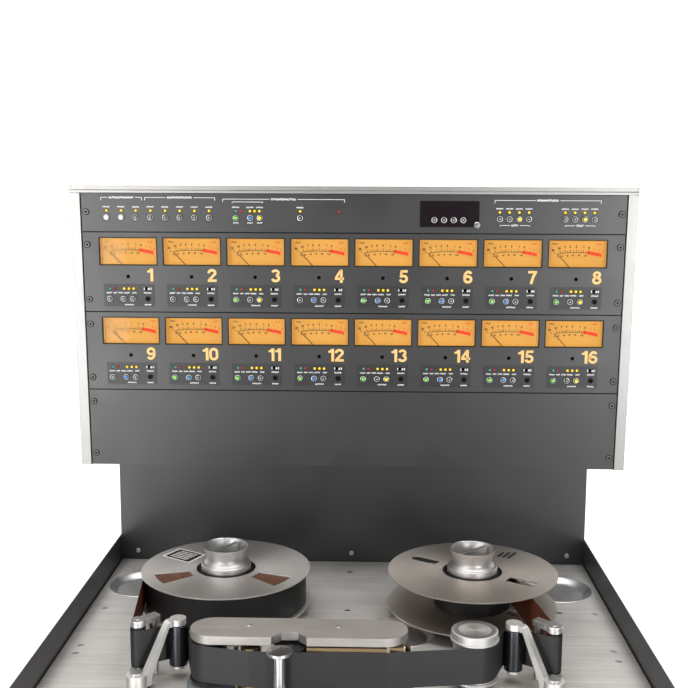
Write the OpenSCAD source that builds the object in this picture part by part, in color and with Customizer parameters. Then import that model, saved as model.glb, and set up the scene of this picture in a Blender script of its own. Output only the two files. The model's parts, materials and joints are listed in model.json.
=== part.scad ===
// Console tape machine for two-inch tape, with sixteen meters in an overhead bridge.
// Millimetres, +Z up, front towards -Y. The origin is on the floor under the middle of the cabinet.
// Most modules work in one of two local frames: deck() has z = 0 on the deck plate's top face, and
// bridge() has x to the right, y up the bridge's face and z out of the face towards the operator.

/* [Cabinet] */
// Height of the deck plate's top face above the floor
deck_h = 830; // [780:1:900]
// Inner width between the cabinet's side panels
inner_w = 842; // [842:1:850]
// Thickness of the cabinet's sheet metal
sheet = 2; // [1.5:0.5:2.5]
// How far the side panels rise above the deck
rim_h = 44.4; // [30:0.1:50]

/* [Reels] */
// Radius of a reel flange
flange_r = 133.35; // [133:0.05:134]
// Half of the distance between the two spindles
spindle_x = 195.3; // [194:0.1:197]
// Width of the tape
tape_w = 50.8; // [50.7:0.1:50.9]
// Radius of the full tape pack on the supply reel
supply_pack_r = 127; // [80:1:128]
// Radius of the small tape pack on the take-up reel
takeup_pack_r = 60; // [58:1:120]

/* [Bridge] */
// Forward lean of the bridge's face in degrees
bridge_lean = 2.87; // [0:0.01:5]
// Distance from one channel's meter to the next
channel_pitch = 105.75; // [105:0.05:106]
// Width of one meter window
meter_w = 96.5; // [94:0.5:98]
// Height of one meter window
meter_h = 46.3; // [44:0.1:48]

/* [Transport] */
// Swing of a tension arm each way in degrees
arm_swing = 14; // [8:1:14]
// Radius of the timer roller's dial
timer_r = 31.3; // [30:0.1:32]

/* [Hidden] */
$fn = 64;

// A needle's node name, with its channel as two digits
function needle_name(channel) = str("meter_needle_", channel < 10 ? "0" : "", channel);

seam = 0.05;                    // welded or riveted joint between members of one node
fit = 0.05;                     // radial clearance of a running fit
back_y = 0;                     // front face of the upright back panel, in the deck frame
cabinet_front = -700;           // front end of the side panels, in the deck frame
cabinet_rear = 60;              // rear end of the side panels, in the deck frame
centre_y = -(cabinet_front + cabinet_rear) / 2;
plinth_h = 60;                  // clear height under the cabinet's skins
deck_t = 16;                    // thickness of the deck casting
deck_front = -600;              // front edge of the deck plate
deck_gap = 2.5;                 // shadow gap round the deck plate
spindle_y = -240.5;             // both spindles, in the deck frame
flange_t = 1.8;                 // thickness of a reel flange
low_flange_z = 20;              // underside of a reel's lower flange
tape_z = low_flange_z + flange_t + 0.2 + fit;
high_flange_z = 73.2;           // underside of a reel's upper flange
hub_r = 57.15;                  // outside of a reel's hub
hub_hole_r = 38.1;              // bore of a reel's hub, on the platter's boss
flange_hole_r = 46.8;           // opening in a reel's upper flange
well_r = 60;                    // finger wells in the deck

bridge_z = 200.4;               // bottom of the bridge above the deck
bridge_y = -88.4;               // bottom edge of the bridge's face, in the deck frame
bridge_w = 927;                 // over the silver side profiles
panel_w = 893;                  // rack panels
panel_t = 3;
unit3_h = 133.35;               // a three-unit rack panel
blank_h = 133.4;
master_h = 64.2;
top_h = 12.3;
bridge_depth = 138;
panel_gap = 1.6;                // seam between rack panels
column_top = bridge_z + 4;      // top of the upright column under the bridge
row2_y = blank_h;               // bottom of the panel with channels 9 to 16
row1_y = blank_h + unit3_h;     // bottom of the panel with channels 1 to 8
master_y = row1_y + unit3_h;
face_h = master_y + master_h;

// Left-to-right place of a channel's meter, channels 0 to 7 in a row
function channel_x(i) = (i - 3.5) * channel_pitch - 0.6;
// Bottom edge of the rack panel that holds row 0 or row 1
function row_y(row) = row == 0 ? row1_y : row2_y;
window_dy = unit3_h - 8.8 - meter_h / 2;        // middle of a meter window above its panel's bottom
plate_w = 84;
plate_h = 37;
plate_dy = unit3_h - 105.5;                     // middle of a channel plate above its panel's bottom
button_dy = unit3_h - 110.9;
lamp_dy = unit3_h - 94;
hole_dy = unit3_h - 73.7;
button_dx = [-32.7, -9.7, 6.1];
lamp_dx = [-32, -24.2, -8.6, -0.6, 7.2];
socket_dx = 30.7;
hole_r = 2.7;                   // trimmer hole and meter socket
slot_w = 9.4;                   // opening of a slide switch
slot_h = 4.2;
switch_travel = 4.4;
master_button_y = master_y + 24.5;
master_lamp_y = master_y + 35.2;
mode_x = [for (i = [0 : 7]) -404 + i * 24.16];  // row of mode buttons at the left
code_x = [-190.9, -167.5, -151.7, -85.4];
right_x = [for (group = [240.2, 346.3], i = [0 : 3]) group + i * 15.8];
window_x = [for (i = [0 : 4]) 118 + i * 15.7];
display_w = 97;
display_h = 42.2;
display_x = 158.5;
display_y = master_y + 32;
master_buttons = concat(mode_x, code_x, right_x);
master_lamps = concat(mode_x, [-191, -183, -167.7, -160, -152.2, -85.3, -21.9], right_x);
ring_r = 4.9;
cap_r = 3.5;
ring_h = 3.2;
button_h = 3;                   // height of a button's cap
button_travel = 1.5;
meter_d = 38;                   // depth of a meter's housing behind its rack panel
pivot_dy = -35.2;               // needle pivot below the middle of its window
needle_len = 47;
needle_tail = 4.2;               // counterweight end beyond the pivot
needle_rest = 43.4;             // needle's lean to the left at rest, in degrees
cavity_z = -9;                  // scale plate's face behind the rack panel's face
window_t = 1.2;

head_y = -505.5;                // middle line of the headblock
head_left = -206.8;
head_right = 84.4;
head_r = 31.5;
cover_z = 78.5;
cover_t = 11.5;
pinch_x = -72;
pinch_y = -522;
pinch_r = 22;
capstan_x = -83.5;
capstan_y = -555;
capstan_r = 8;
entry_x = -182;
entry_r = 25;
guide_x = 285;
guide_y = -474;
guide_r = 10.5;
arm_x = 231;                    // tension roller at rest
arm_y = -467;
arm_pivot_x = 280;
arm_pivot_y = -512;
arm_roller_r = 13;
timer_x = 174.7;
timer_y = -493;
pinch_pivot_x = -30;
pinch_pivot_y = -560;
key_w = 34;                     // a transport key
key_pitch = 42;
key_travel = 3;
console_front = -696;
console_rear = -603;
console_drop = 34;              // how far the control panel slopes down towards the front

module deck() { translate([0, centre_y, deck_h]) children(); }
module bridge() { deck() translate([0, bridge_y, bridge_z]) rotate([90 + bridge_lean, 0, 0]) children(); }
module at_spindle(side) { deck() translate([side * spindle_x, spindle_y, 0]) children(); }

// A box given by its lowest and highest corners
module span(low, high) { translate(low) cube(high - low); }
module tube_h(r, hole, h) {
    difference() {
        cylinder(r = r, h = h);
        translate([0, 0, -1]) cylinder(r = hole, h = h + 2);
    }
}
// Flat outline with round ends of the given radius
module stadium(left, right, r) {
    translate([left + r, 0]) circle(r = r);
    translate([right - r, 0]) circle(r = r);
    translate([left + r, -r]) square([right - left - 2 * r, 2 * r]);
}
// A sheet seen from the front with rows of ventilation slots, in the x-z plane
module slotted_sheet(w, low, high, rows, slot_w) {
    rotate([90, 0, 0]) linear_extrude(sheet, center = true) difference() {
        translate([-w / 2, low]) square([w, high - low]);
        for (i = [0 : rows - 1], x = [-1, 1])
            translate([x * w / 4 - slot_w / 2, low + 60 + i * 22]) square([slot_w, 7]);
    }
}

// ---------- cabinet ----------

module side_panels() {
    color("#1c1d1f") deck() for (s = [-1, 1]) {
        outer = s * (inner_w / 2 + sheet);
        inner = s * inner_w / 2;
        lip = s * (inner_w / 2 - 14);
        span([min(outer, inner), cabinet_front, plinth_h - deck_h],
             [max(outer, inner), cabinet_rear, rim_h]);
        span([min(inner, lip), cabinet_front, plinth_h - deck_h],
             [max(inner, lip), cabinet_rear, plinth_h - deck_h + sheet]);
    }
}

frame_x = inner_w / 2 - 22;
tube = 30;
frame_front = -672;
frame_rear = 24;
frame_mid = frame_front + 95;   // upright under the front end of an upper side rail
frame_top = -deck_t - 2;
rack_low = 130;
rack_high = 480;
rack_rail_y = [-540, -60];
frame_low = -deck_h + plinth_h + sheet + 0.5;
half_tube = tube / 2;
module frame_post(x, y, low, high) {
    span([x - half_tube, y - half_tube, low], [x + half_tube, y + half_tube, high]);
}
// A square tube along x or y, ending a seam short of the posts it is welded to
module cross_rail(y, low) {
    reach = frame_x - half_tube - seam;
    span([-reach, y - half_tube, low], [reach, y + half_tube, low + tube]);
}
module side_rail(x, front, low) {
    span([x - half_tube, front, low], [x + half_tube, frame_rear - half_tube - seam, low + tube]);
}
module base_frame() {
    color("#2b2c2e") deck() {
        for (x = [-frame_x, frame_x]) {
            frame_post(x, frame_front, frame_low, frame_top - 44);
            frame_post(x, frame_rear, frame_low, column_top);
            frame_post(x, frame_mid, frame_low + tube + seam, frame_top - tube - seam);
            side_rail(x, frame_front + half_tube + seam, frame_low);
            side_rail(x, frame_mid - half_tube, frame_top - tube);
            for (y = [frame_front, frame_rear]) translate([x, y, -deck_h]) {
                cylinder(r = 24, h = 12);
                translate([0, 0, 12]) cylinder(r = 7, h = frame_low + deck_h - 12 - seam);
            }
        }
        for (y = [frame_front, frame_rear]) cross_rail(y, frame_low);
        for (low = [frame_top - tube, column_top - tube]) cross_rail(frame_rear, low);
        for (y = rack_rail_y)
            span([-frame_x - half_tube, y - half_tube, frame_low + tube + seam],
                 [frame_x + half_tube, y + half_tube, rack_low - deck_h - 0.3]);
    }
}

// A tray with a cage of plug-in cards in front and two power supplies behind
module electronics_rack() {
    rack_w = 620;
    plate = 4;
    card_count = 12;
    card_pitch = 48;
    card_top = rack_high - plate - seam;
    face_w = 44;
    cage_rear = -180;
    inside = rack_w / 2 - 2 - seam;
    floor_z = rack_low + plate + seam;
    color("#8d9094") translate([0, centre_y, 0]) {
        span([-inside, -560, rack_low], [inside, 10, rack_low + plate]);
        span([-inside, -560, rack_high - plate], [inside, cage_rear, rack_high]);
        for (x = [-rack_w / 2, rack_w / 2])
            span([x - 2, -560, rack_low], [x + 2, cage_rear, rack_high]);
        for (i = [0 : card_count - 1]) {
            x = (i - (card_count - 1) / 2) * card_pitch;
            span([x - 1, -550, floor_z], [x + 1, -200, card_top]);
            span([x - face_w / 2, -556, floor_z], [x + face_w / 2, -550 - seam, card_top]);
        }
        span([-260, -140, floor_z], [-20, 5, rack_low + 150]);
        span([20, -140, floor_z], [260, 5, rack_low + 110]);
    }
}

module front_cover() {
    color("#3a3b3e") deck() translate([0, cabinet_front + 8, 0])
        slotted_sheet(inner_w - 1, plinth_h - deck_h + 4, -console_drop - 14, 9, 300);
}

module rear_cover() {
    inlet_x = 300;
    inlet_z = -640;
    color("#3a3b3e") deck() {
        difference() {
            translate([0, cabinet_rear - 6, 0])
                slotted_sheet(inner_w - 1, plinth_h - deck_h + 4, bridge_z - 8, 9, 300);
            span([inlet_x - 14, cabinet_rear - 10, inlet_z - 10], [inlet_x + 14, cabinet_rear, inlet_z + 10]);
        }
        difference() {
            span([inlet_x - 20, cabinet_rear - 30, inlet_z - 14],
                 [inlet_x + 20, cabinet_rear - 7, inlet_z + 14]);
            span([inlet_x - 12, cabinet_rear - 24, inlet_z - 8], [inlet_x + 12, cabinet_rear, inlet_z + 8]);
        }
    }
}

back_screw_x = [-390, 0, 390];
back_screw_z = 16;
module back_panel() {
    color("#3c3d3f") deck() {
        edge = inner_w / 2 - 0.3;
        difference() {
            span([-edge, back_y, -14], [edge, back_y + 3, column_top]);
            for (x = back_screw_x)
                translate([x, back_y + 4, back_screw_z]) rotate([90, 0, 0]) cylinder(r = 2.6, h = 6);
        }
        for (s = [-1, 1]) span([min(s * edge, s * (edge - sheet)), back_y, rim_h - 20],
                               [max(s * edge, s * (edge - sheet)), back_y + 50, column_top]);
    }
}

// ---------- deck ----------

well_places = [[-352, -122, 60], [350, -121, 60], [-78, -307, 57], [78, -307, 57]];
deck_screws = [[-394, -232], [393, -229], [-395, -372], [392, -367], [-395, -400], [392, -400],
               [-2, -227], [-2, -54], [337.5, -225], [-337.5, -225], [-390, -560], [390, -560]];
module deck_plate() {
    well_depth = 11;
    color("#b9bbbd") deck() difference() {
        span([-inner_w / 2 + deck_gap, deck_front, -deck_t], [inner_w / 2 - deck_gap, back_y - 1.5, 0]);
        for (w = well_places) translate([w[0], w[1], -well_depth])
            cylinder(r1 = w[2] - 14, r2 = w[2] + 1.2, h = well_depth + 1);
        for (s = [-1, 1]) translate([s * spindle_x, spindle_y, -deck_t - 1]) cylinder(r = 16, h = deck_t + 2);
        translate([capstan_x, capstan_y, -deck_t - 1]) cylinder(r = 14, h = deck_t + 2);
        for (p = deck_screws) translate([p[0], p[1], -deck_t - 1]) {
            cylinder(r = 2.6, h = deck_t + 2);
            translate([0, 0, deck_t - 2.6]) cylinder(r = 4.8, h = 4);
        }
    }
}

motor_top = -deck_t - 0.2;
module drive_motors() {
    color("#55585c") deck() {
        for (s = [-1, 1]) translate([s * spindle_x, spindle_y, motor_top]) mirror([0, 0, 1]) {
            tube_h(88, 8 + fit, 10);
            translate([0, 0, 10]) tube_h(74, 8 + fit, 96);
        }
        translate([capstan_x, capstan_y, motor_top]) mirror([0, 0, 1]) {
            tube_h(34, capstan_r + fit, 8);
            translate([0, 0, 8]) tube_h(30, capstan_r + fit, 90);
        }
    }
}

platter_z = 8;
boss_top = 66;
module platter(side) {
    color("#8f9193") at_spindle(side) {
        translate([0, 0, platter_z]) cylinder(r = 96, h = low_flange_z - platter_z);
        translate([0, 0, low_flange_z]) cylinder(r = hub_hole_r - fit, h = boss_top - low_flange_z);
        translate([0, 0, -110]) cylinder(r = 8, h = 110 + platter_z);
    }
}
module supply_platter() { platter(-1); }
module takeup_platter() { platter(1); }

// Radial windows of a reel's flange: a sector cut to two radii
module sector_window(inner, outer, half_angle) {
    intersection() {
        difference() { circle(r = outer); circle(r = inner); }
        polygon([[0, 0], for (a = [-half_angle, half_angle]) 200 * [cos(a), sin(a)]]);
    }
}
module slot_window(inner, outer, width) {
    translate([inner + 4, -width / 2]) square([outer - inner - 4 - width / 2, width]);
    translate([outer - width / 2, 0]) circle(r = width / 2);
}
module reel(side, angles, sectors) {
    color("#b4b5b6") at_spindle(side) {
        for (z = [low_flange_z, high_flange_z]) translate([0, 0, z]) linear_extrude(flange_t) difference() {
            circle(r = flange_r);
            circle(r = z == low_flange_z ? hub_hole_r : flange_hole_r);
            for (a = angles) rotate(a) {
                if (sectors) sector_window(58, 113, 11.5);
                else slot_window(58, 110, 20);
            }
            for (i = [0 : 5]) rotate(i * 60 - 3) translate([51, 0]) square([3.6, 1.8], center = true);
        }
        translate([0, 0, low_flange_z + flange_t + seam])
            tube_h(hub_r, hub_hole_r, high_flange_z - low_flange_z - flange_t - 2 * seam);
    }
}
module supply_reel() { reel(-1, [-151, -31, 89], true); }
module takeup_reel() { reel(1, [-33, 147], false); }

module tape_pack(side, r) {
    color("#1d1b1a") at_spindle(side) translate([0, 0, tape_z]) tube_h(r, hub_r, tape_w);
}
module supply_tape_pack() { tape_pack(-1, supply_pack_r); }
module takeup_tape_pack() { tape_pack(1, takeup_pack_r); }

// The lock is a waisted spool with a cup on top and a finger bar across the cup.
lock_low = boss_top + 0.3;
lock_top = 112;
lock_base_r = 39.3;
lock_waist_r = 30.9;
lock_rim_r = 36.7;
module reel_lock(side, bar_angle) {
    wall_inner = 33.6;
    cup_z = 84;
    waist_z = 93;
    shoulder_z = 85.6;
    swell = [for (t = [0 : 0.125 : 1])
        [lock_waist_r + (lock_rim_r - lock_waist_r) * (1 - cos(90 * t)), waist_z + (lock_top - waist_z) * t]];
    shoulder = [for (t = [0 : 0.25 : 1])
        [lock_waist_r + (lock_base_r - 4 - lock_waist_r) * (1 - sin(90 * t)),
         shoulder_z + (waist_z - shoulder_z) * t]];
    color("#cfd0d1") at_spindle(side) {
        rotate_extrude() polygon(concat(
            [[0, lock_low], [hub_hole_r - 2, lock_low], [hub_hole_r - 2, 75.4], [lock_base_r, 75.4]],
            [[lock_base_r, 82.5], [lock_base_r - 1.2, 84.4]],
            shoulder, swell,
            [[lock_rim_r - 1.2, lock_top], [wall_inner, lock_top - 1.5], [wall_inner - 4.6, 94]],
            [[wall_inner - 5.6, cup_z], [0, cup_z]]));
        rotate(bar_angle) span([-29, -3, cup_z - 1], [29, 3, lock_top - 3]);
    }
}
module supply_reel_lock() { reel_lock(-1, 60); }
module takeup_reel_lock() { reel_lock(1, 41); }

// ---------- tape path ----------

roller_low = 19;
roller_high = 76.4;
arm_hub_z = 3;
arm_hub_h = 21;
module tension_arm(side) {
    reach = norm([arm_pivot_x - arm_x, arm_pivot_y - arm_y]);
    heading = atan2(arm_pivot_y - arm_y, side * (arm_pivot_x - arm_x));
    strap_w = 12;
    leg_w = 11.2;
    top = 85.5;
    under = 77;
    color("#c9cacb") deck() translate([side * arm_x, arm_y, 0]) {
        difference() {
            translate([0, 0, under]) rotate(heading) linear_extrude(top - under) {
                circle(r = 11.3);
                translate([0, -strap_w / 2]) square([16, strap_w]);
            }
            translate([0, 0, top - 3]) cylinder(r = 2.4, h = 4);
        }
        translate([0, 0, roller_low - 3]) cylinder(r = 3, h = under - roller_low + 4);
        translate([0, 0, roller_low - 5]) cylinder(r = 9, h = 4);
        rotate(heading) rotate([90, 0, 0]) translate([0, 0, -leg_w / 2]) linear_extrude(leg_w)
            polygon([[9, under + 1], [9, top - 1], [17.5, top - 1], [20, top - 3],
                     [54, arm_hub_z + arm_hub_h - 1], [reach - 8, arm_hub_z + arm_hub_h - 1],
                     [reach - 8, arm_hub_z + 1], [47, arm_hub_z + 1], [46, arm_hub_z + 12], [17, under + 1]]);
        rotate(heading) translate([reach, 0, arm_hub_z]) tube_h(14, 5 + fit, arm_hub_h);
    }
}
module left_tension_arm() { tension_arm(-1); }
module right_tension_arm() { tension_arm(1); }

module plain_roller(x, y, r, bore) {
    deck() translate([x, y, roller_low]) tube_h(r, bore + fit, roller_high - roller_low);
}
module left_tension_roller() { color("#4a4c50") plain_roller(-arm_x, arm_y, arm_roller_r, 3); }
module right_tension_roller() { color("#4a4c50") plain_roller(arm_x, arm_y, arm_roller_r, 3); }
module left_guide_roller() { color("#2a2a2b") plain_roller(-guide_x, guide_y, guide_r, 3); }
module right_guide_roller() { color("#2a2a2b") plain_roller(guide_x, guide_y, guide_r, 3); }

bracket_low = 77;
bracket_high = 85.5;
bracket_post = [267, -456];
module guide_brackets() {
    color("#c4c5c6") deck() for (s = [-1, 1]) {
        translate([s * guide_x, guide_y, 0]) {
            translate([0, 0, bracket_low]) cylinder(r = 10.3, h = bracket_high - bracket_low);
            translate([0, 0, 4]) cylinder(r = 3, h = bracket_low - 4);
            cylinder(r = 13, h = 14);
        }
        direction = atan2(bracket_post[1] - guide_y, s * (bracket_post[0] - guide_x));
        translate([s * guide_x, guide_y, bracket_low]) rotate(direction)
            translate([0, -7, 0]) cube([32, 14, bracket_high - bracket_low]);
        translate([s * bracket_post[0], bracket_post[1], 0]) cylinder(r = 6, h = bracket_low + 1);
        translate([s * arm_pivot_x, arm_pivot_y, 0]) {
            cylinder(r = 5, h = arm_hub_z + arm_hub_h + 2);
            translate([0, 0, arm_hub_z + arm_hub_h + 0.4]) cylinder(r = 9, h = 3);
            cylinder(r = 12, h = arm_hub_z - 0.4);
        }
    }
}

module timer_roller() {
    color("#c6c7c8") deck() translate([timer_x, timer_y, 0]) difference() {
        union() {
            translate([0, 0, 18]) cylinder(r = timer_r + 1.6, h = 3);
            translate([0, 0, 18]) cylinder(r = timer_r - 2.3, h = 60);
            translate([0, 0, 73.4]) cylinder(r = timer_r + 1.6, h = 2.2);
            translate([0, 0, 75]) cylinder(r = timer_r, h = 10.4);
            translate([0, 0, 85]) cylinder(r1 = timer_r, r2 = timer_r - 0.9, h = 0.9);
        }
        translate([0, 0, 17]) cylinder(r = 6 + fit, h = 55);
    }
}

module entry_roller() {
    color("#2a2a2b") deck() translate([entry_x, head_y, 0]) difference() {
        union() {
            translate([0, 0, roller_low]) cylinder(r = entry_r + 1.4, h = 2.6);
            translate([0, 0, roller_low]) cylinder(r = entry_r - 1, h = 57);
            translate([0, 0, 73.6]) cylinder(r = entry_r + 1.4, h = 2.4);
        }
        translate([0, 0, roller_low - 1]) cylinder(r = 6 + fit, h = 52);
    }
}

cover_screws = [[-128.8, -499.5], [-8.3, -500]];
module headblock() {
    base_h = 14;
    post_low = base_h + seam;
    color("#6f7276") deck() {
        difference() {
            linear_extrude(base_h) difference() {
                translate([0, head_y]) stadium(head_left - 6, head_right + 8, head_r + 4);
                translate([capstan_x, capstan_y]) circle(r = 14);
            }
            translate([pinch_x, pinch_y, 9]) cylinder(r = pinch_r + 6, h = 6);
        }
        translate([pinch_pivot_x, pinch_pivot_y, 0]) cylinder(r = 3, h = 20);
        translate([entry_x, head_y, post_low]) cylinder(r = 6, h = 65 - post_low);
        translate([timer_x, timer_y, 0]) cylinder(r = 16, h = 15);
        translate([timer_x, timer_y, 15 + seam]) cylinder(r = 6, h = 51);
        for (p = concat(cover_screws, [[72, -497]]))
            translate([p[0], p[1], post_low]) cylinder(r = 5.6, h = cover_z - 0.2 - post_low);
    }
}

notch_half = [23.2, 11.2];      // half width of the cover's notch at its mouth and at its floor
notch_depth = 17.5;
// Half width of the notch at a share of its depth
function notch_side(t) = notch_half[1] + (notch_half[0] - notch_half[1]) * (1 + cos(180 * t)) / 2;
module headblock_cover() {
    notch_x = -72.4;
    color("#bfc0c1") deck() translate([0, 0, cover_z]) linear_extrude(cover_t) difference() {
        translate([0, head_y]) stadium(head_left, head_right, head_r);
        translate([notch_x, head_y - head_r]) polygon(concat(
            [[-notch_half[0] - 4, -8], [-notch_half[0] - 4, 0]],
            [for (t = [0 : 0.2 : 1]) [-notch_side(t), notch_depth * t]],
            [for (t = [1 : -0.2 : 0]) [notch_side(t), notch_depth * t]],
            [[notch_half[0] + 4, 0], [notch_half[0] + 4, -8]]));
        for (p = cover_screws) translate(p) circle(r = 2.2);
        translate([11.4, -531]) circle(r = 1.2);
    }
}

// A head: a block with a curved front that the tape wraps.
head_front = -541;
head_x = [-26, 10];
module head_block(x, w) {
    translate([x, 0, 14]) linear_extrude(60) {
        translate([-w / 2, head_front + 14]) square([w, 19]);
        translate([-w / 2 + 4, head_front + 5]) square([w - 8, 10]);
        translate([0, head_front + w / 2 - 3]) circle(r = w / 2 - 3);
    }
}
module tape_heads() {
    color("#8a6f4a") deck() {
        head_block(-124, 26);
        difference() {
            span([-49.3, head_front + 1, 14], [55.8, head_front + 22, 77.4]);
            span([-60, head_front - 1, 13], [-34, head_front + 30, 20]);
            for (x = head_x) span([x - 17, head_front - 1, 20], [x + 17, head_front + 11, 70]);
        }
        for (x = head_x) translate([x, head_front + 11, 20]) linear_extrude(50) {
            circle(r = 10.6);
            translate([-10.6, 0]) square([21.2, 2]);
        }
        span([60, -536, 14], [78, -520, 77.4]);
        translate([84, -523, 14]) cylinder(r = 3.4, h = 62);
        translate([-143, -528, 14]) cylinder(r = 3, h = 64);
    }
}

module capstan() {
    color("#d2d3d4") deck() translate([capstan_x, capstan_y, 0]) {
        translate([0, 0, -108]) cylinder(r = capstan_r, h = 185);
        translate([0, 0, 76]) cylinder(r = 17.3, h = 4);
        translate([0, 0, 2]) cylinder(r = 11, h = 8);
    }
}

pinch_arm_z = 14.4;
module pinch_arm() {
    reach = norm([pinch_pivot_x - pinch_x, pinch_pivot_y - pinch_y]);
    heading = atan2(pinch_y - pinch_pivot_y, pinch_x - pinch_pivot_x);
    color("#9b9d9f") deck() translate([pinch_pivot_x, pinch_pivot_y, 0]) {
        translate([0, 0, 0.4]) tube_h(7, 3 + fit, 15);
        translate([0, 0, pinch_arm_z]) rotate(heading) linear_extrude(3.6) {
            difference() {
                union() {
                    circle(r = 9);
                    translate([0, -8]) square([reach, 16]);
                    translate([reach, 0]) circle(r = 12);
                }
                circle(r = 3 + fit);
            }
        }
        rotate(heading) translate([reach, 0, pinch_arm_z + 3]) cylinder(r = 5, h = 54);
    }
}
module pinch_roller() {
    color("#161616") deck() translate([pinch_x, pinch_y, 19]) difference() {
        cylinder(r = pinch_r, h = 54);
        translate([0, 0, -1]) cylinder(r = 5 + fit, h = 56);
    }
}

// ---------- control panel ----------

console_tilt = atan2(console_drop, console_rear - console_front);
console_len = norm([console_drop, console_rear - console_front]);
module on_console() { deck() translate([0, console_rear, 0]) rotate([console_tilt, 0, 0]) children(); }
key_count = 5;
key_x = [for (i = [0 : key_count - 1]) 120 + i * key_pitch];
key_y = -52;
module control_panel() {
    color("#343538") on_console() {
        difference() {
            span([-inner_w / 2 + 1, -console_len, -3], [inner_w / 2 - 1, -0.6, 0]);
            for (x = key_x)
                span([x - key_w / 2 - 0.6, key_y - 17.6, -4], [x + key_w / 2 + 0.6, key_y + 17.6, 1]);
        }
        for (x = key_x) difference() {
            span([x - key_w / 2 - 3, key_y - 20, -16], [x + key_w / 2 + 3, key_y + 20, -3]);
            span([x - key_w / 2 - 0.6, key_y - 17.6, -14], [x + key_w / 2 + 0.6, key_y + 17.6, 0]);
        }
        span([-330, -72, 0], [-130, -32, 2.4]);
        for (i = [0 : 7]) translate([-90 + i * 20, key_y, 0]) cylinder(r = 6, h = 3);
        span([-inner_w / 2 + 1, -console_len, -12], [inner_w / 2 - 1, -console_len + 2, -3]);
    }
}
module transport_keys() {
    color("#d8d8d6") on_console() for (x = key_x)
        span([x - key_w / 2, key_y - 17, -9], [x + key_w / 2, key_y + 17, 5]);
}

// ---------- meter bridge ----------

module bridge_case() {
    wall = 2;
    front = -panel_t - 0.2;
    inside = -bridge_depth + wall + seam;
    color("#242527") bridge() {
        span([-panel_w / 2, 0, -bridge_depth], [panel_w / 2, face_h, -bridge_depth + wall]);
        for (y = [0, face_h - wall])
            span([-panel_w / 2, y, inside], [panel_w / 2, y + wall, front]);
        for (x = [-panel_w / 2, panel_w / 2 - wall])
            span([x, wall + seam, inside], [x + wall, face_h - wall - seam, front]);
    }
}

profile_front = 2;
module bridge_profiles() {
    color("#c9cacc") bridge() {
        for (s = [-1, 1]) {
            x0 = s * (panel_w / 2 + 0.4);
            x1 = s * bridge_w / 2;
            span([min(x0, x1), 0, -bridge_depth], [max(x0, x1), face_h, profile_front]);
        }
        difference() {
            span([-bridge_w / 2, face_h, -bridge_depth - 2], [bridge_w / 2, face_h + top_h, profile_front + 2]);
            span([-bridge_w, face_h + 4.2, profile_front + 1], [bridge_w, face_h + 5.2, profile_front + 3]);
        }
    }
}

screw_x = 438;                  // rack screws from the bridge's middle
screw_dy = 21;                  // rack screws from the edge of a three-unit panel
master_screw_dy = 33;
module rack_panel(low, h) {
    translate([0, low + panel_gap / 2, -panel_t]) linear_extrude(panel_t) difference() {
        translate([-panel_w / 2, 0]) square([panel_w, h - panel_gap]);
        for (s = [-1, 1], y = h > 100 ? [screw_dy, h - screw_dy] : [master_screw_dy])
            translate([s * screw_x, y - panel_gap / 2]) circle(r = 2.6);
    }
}
module master_panel() { color("#4a4b4d") bridge() rack_panel(master_y, master_h); }
module blank_panel() { color("#4a4b4d") bridge() rack_panel(0, blank_h); }
module meter_panels() {
    plate_t = 0.8;
    color("#4a4b4d") bridge() for (row = [0, 1]) difference() {
        union() {
            rack_panel(row_y(row), unit3_h);
            for (i = [0 : 7])
                translate([channel_x(i) - 0.5 - plate_w / 2, row_y(row) + plate_dy - plate_h / 2, 0])
                    cube([plate_w, plate_h, plate_t]);
        }
        for (i = [0 : 7]) translate([channel_x(i), row_y(row), 0]) {
            translate([0, window_dy, 0]) cube([meter_w + 0.4, meter_h + 0.4, 20], center = true);
            translate([-1.2, hole_dy, -10]) cylinder(r = hole_r, h = 20);
            translate([socket_dx, button_dy, -10]) cylinder(r = hole_r, h = 20);
            translate([socket_dx, lamp_dy, 0]) cube([slot_w, slot_h, 20], center = true);
        }
    }
}

// Places children at the middle of each meter's window
module at_meters() {
    for (row = [0, 1], i = [0 : 7]) translate([channel_x(i), row_y(row) + window_dy, 0]) children();
}
module meter_housings() {
    bezel = 1.2;
    low = -42;
    color("#141414") bridge() at_meters() {
        difference() {
            union() {
                span([-meter_w / 2 + 1, low, -panel_t - meter_d],
                     [meter_w / 2 - 1, meter_h / 2, -panel_t - 0.3]);
                span([-meter_w / 2, -meter_h / 2, -panel_t - 0.4], [meter_w / 2, meter_h / 2, 0.6]);
            }
            span([-meter_w / 2 + bezel, -meter_h / 2 + bezel, -3.6],
                 [meter_w / 2 - bezel, meter_h / 2 - bezel, 2]);
            span([-meter_w / 2 + 3, low + 2, cavity_z], [meter_w / 2 - 3, meter_h / 2 - 2.4, -3.3]);
        }
        translate([0, pivot_dy, cavity_z - 0.5]) cylinder(r = 1, h = 4.6);
    }
}
module meter_windows() {
    inset = 1.25;
    color([1, 0.9, 0.6, 0.4]) bridge() at_meters()
        span([-meter_w / 2 + inset, -meter_h / 2 + inset, -3.4],
             [meter_w / 2 - inset, meter_h / 2 - inset, -3.4 + window_t]);
}
module meter_needle(channel) {
    row = channel > 8 ? 1 : 0;
    i = (channel - 1) % 8;
    pivot_y = row_y(row) + window_dy + pivot_dy;
    color("#101010") bridge() translate([channel_x(i), pivot_y, 0]) rotate(needle_rest) {
        translate([0, 0, cavity_z + 0.3]) tube_h(2.6, 1 + fit, 3);
        difference() {
            span([-0.6, -needle_tail, cavity_z + 2.2], [0.6, needle_len, cavity_z + 2.8]);
            translate([0, 0, cavity_z]) cylinder(r = 2, h = 6);
        }
    }
}

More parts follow.
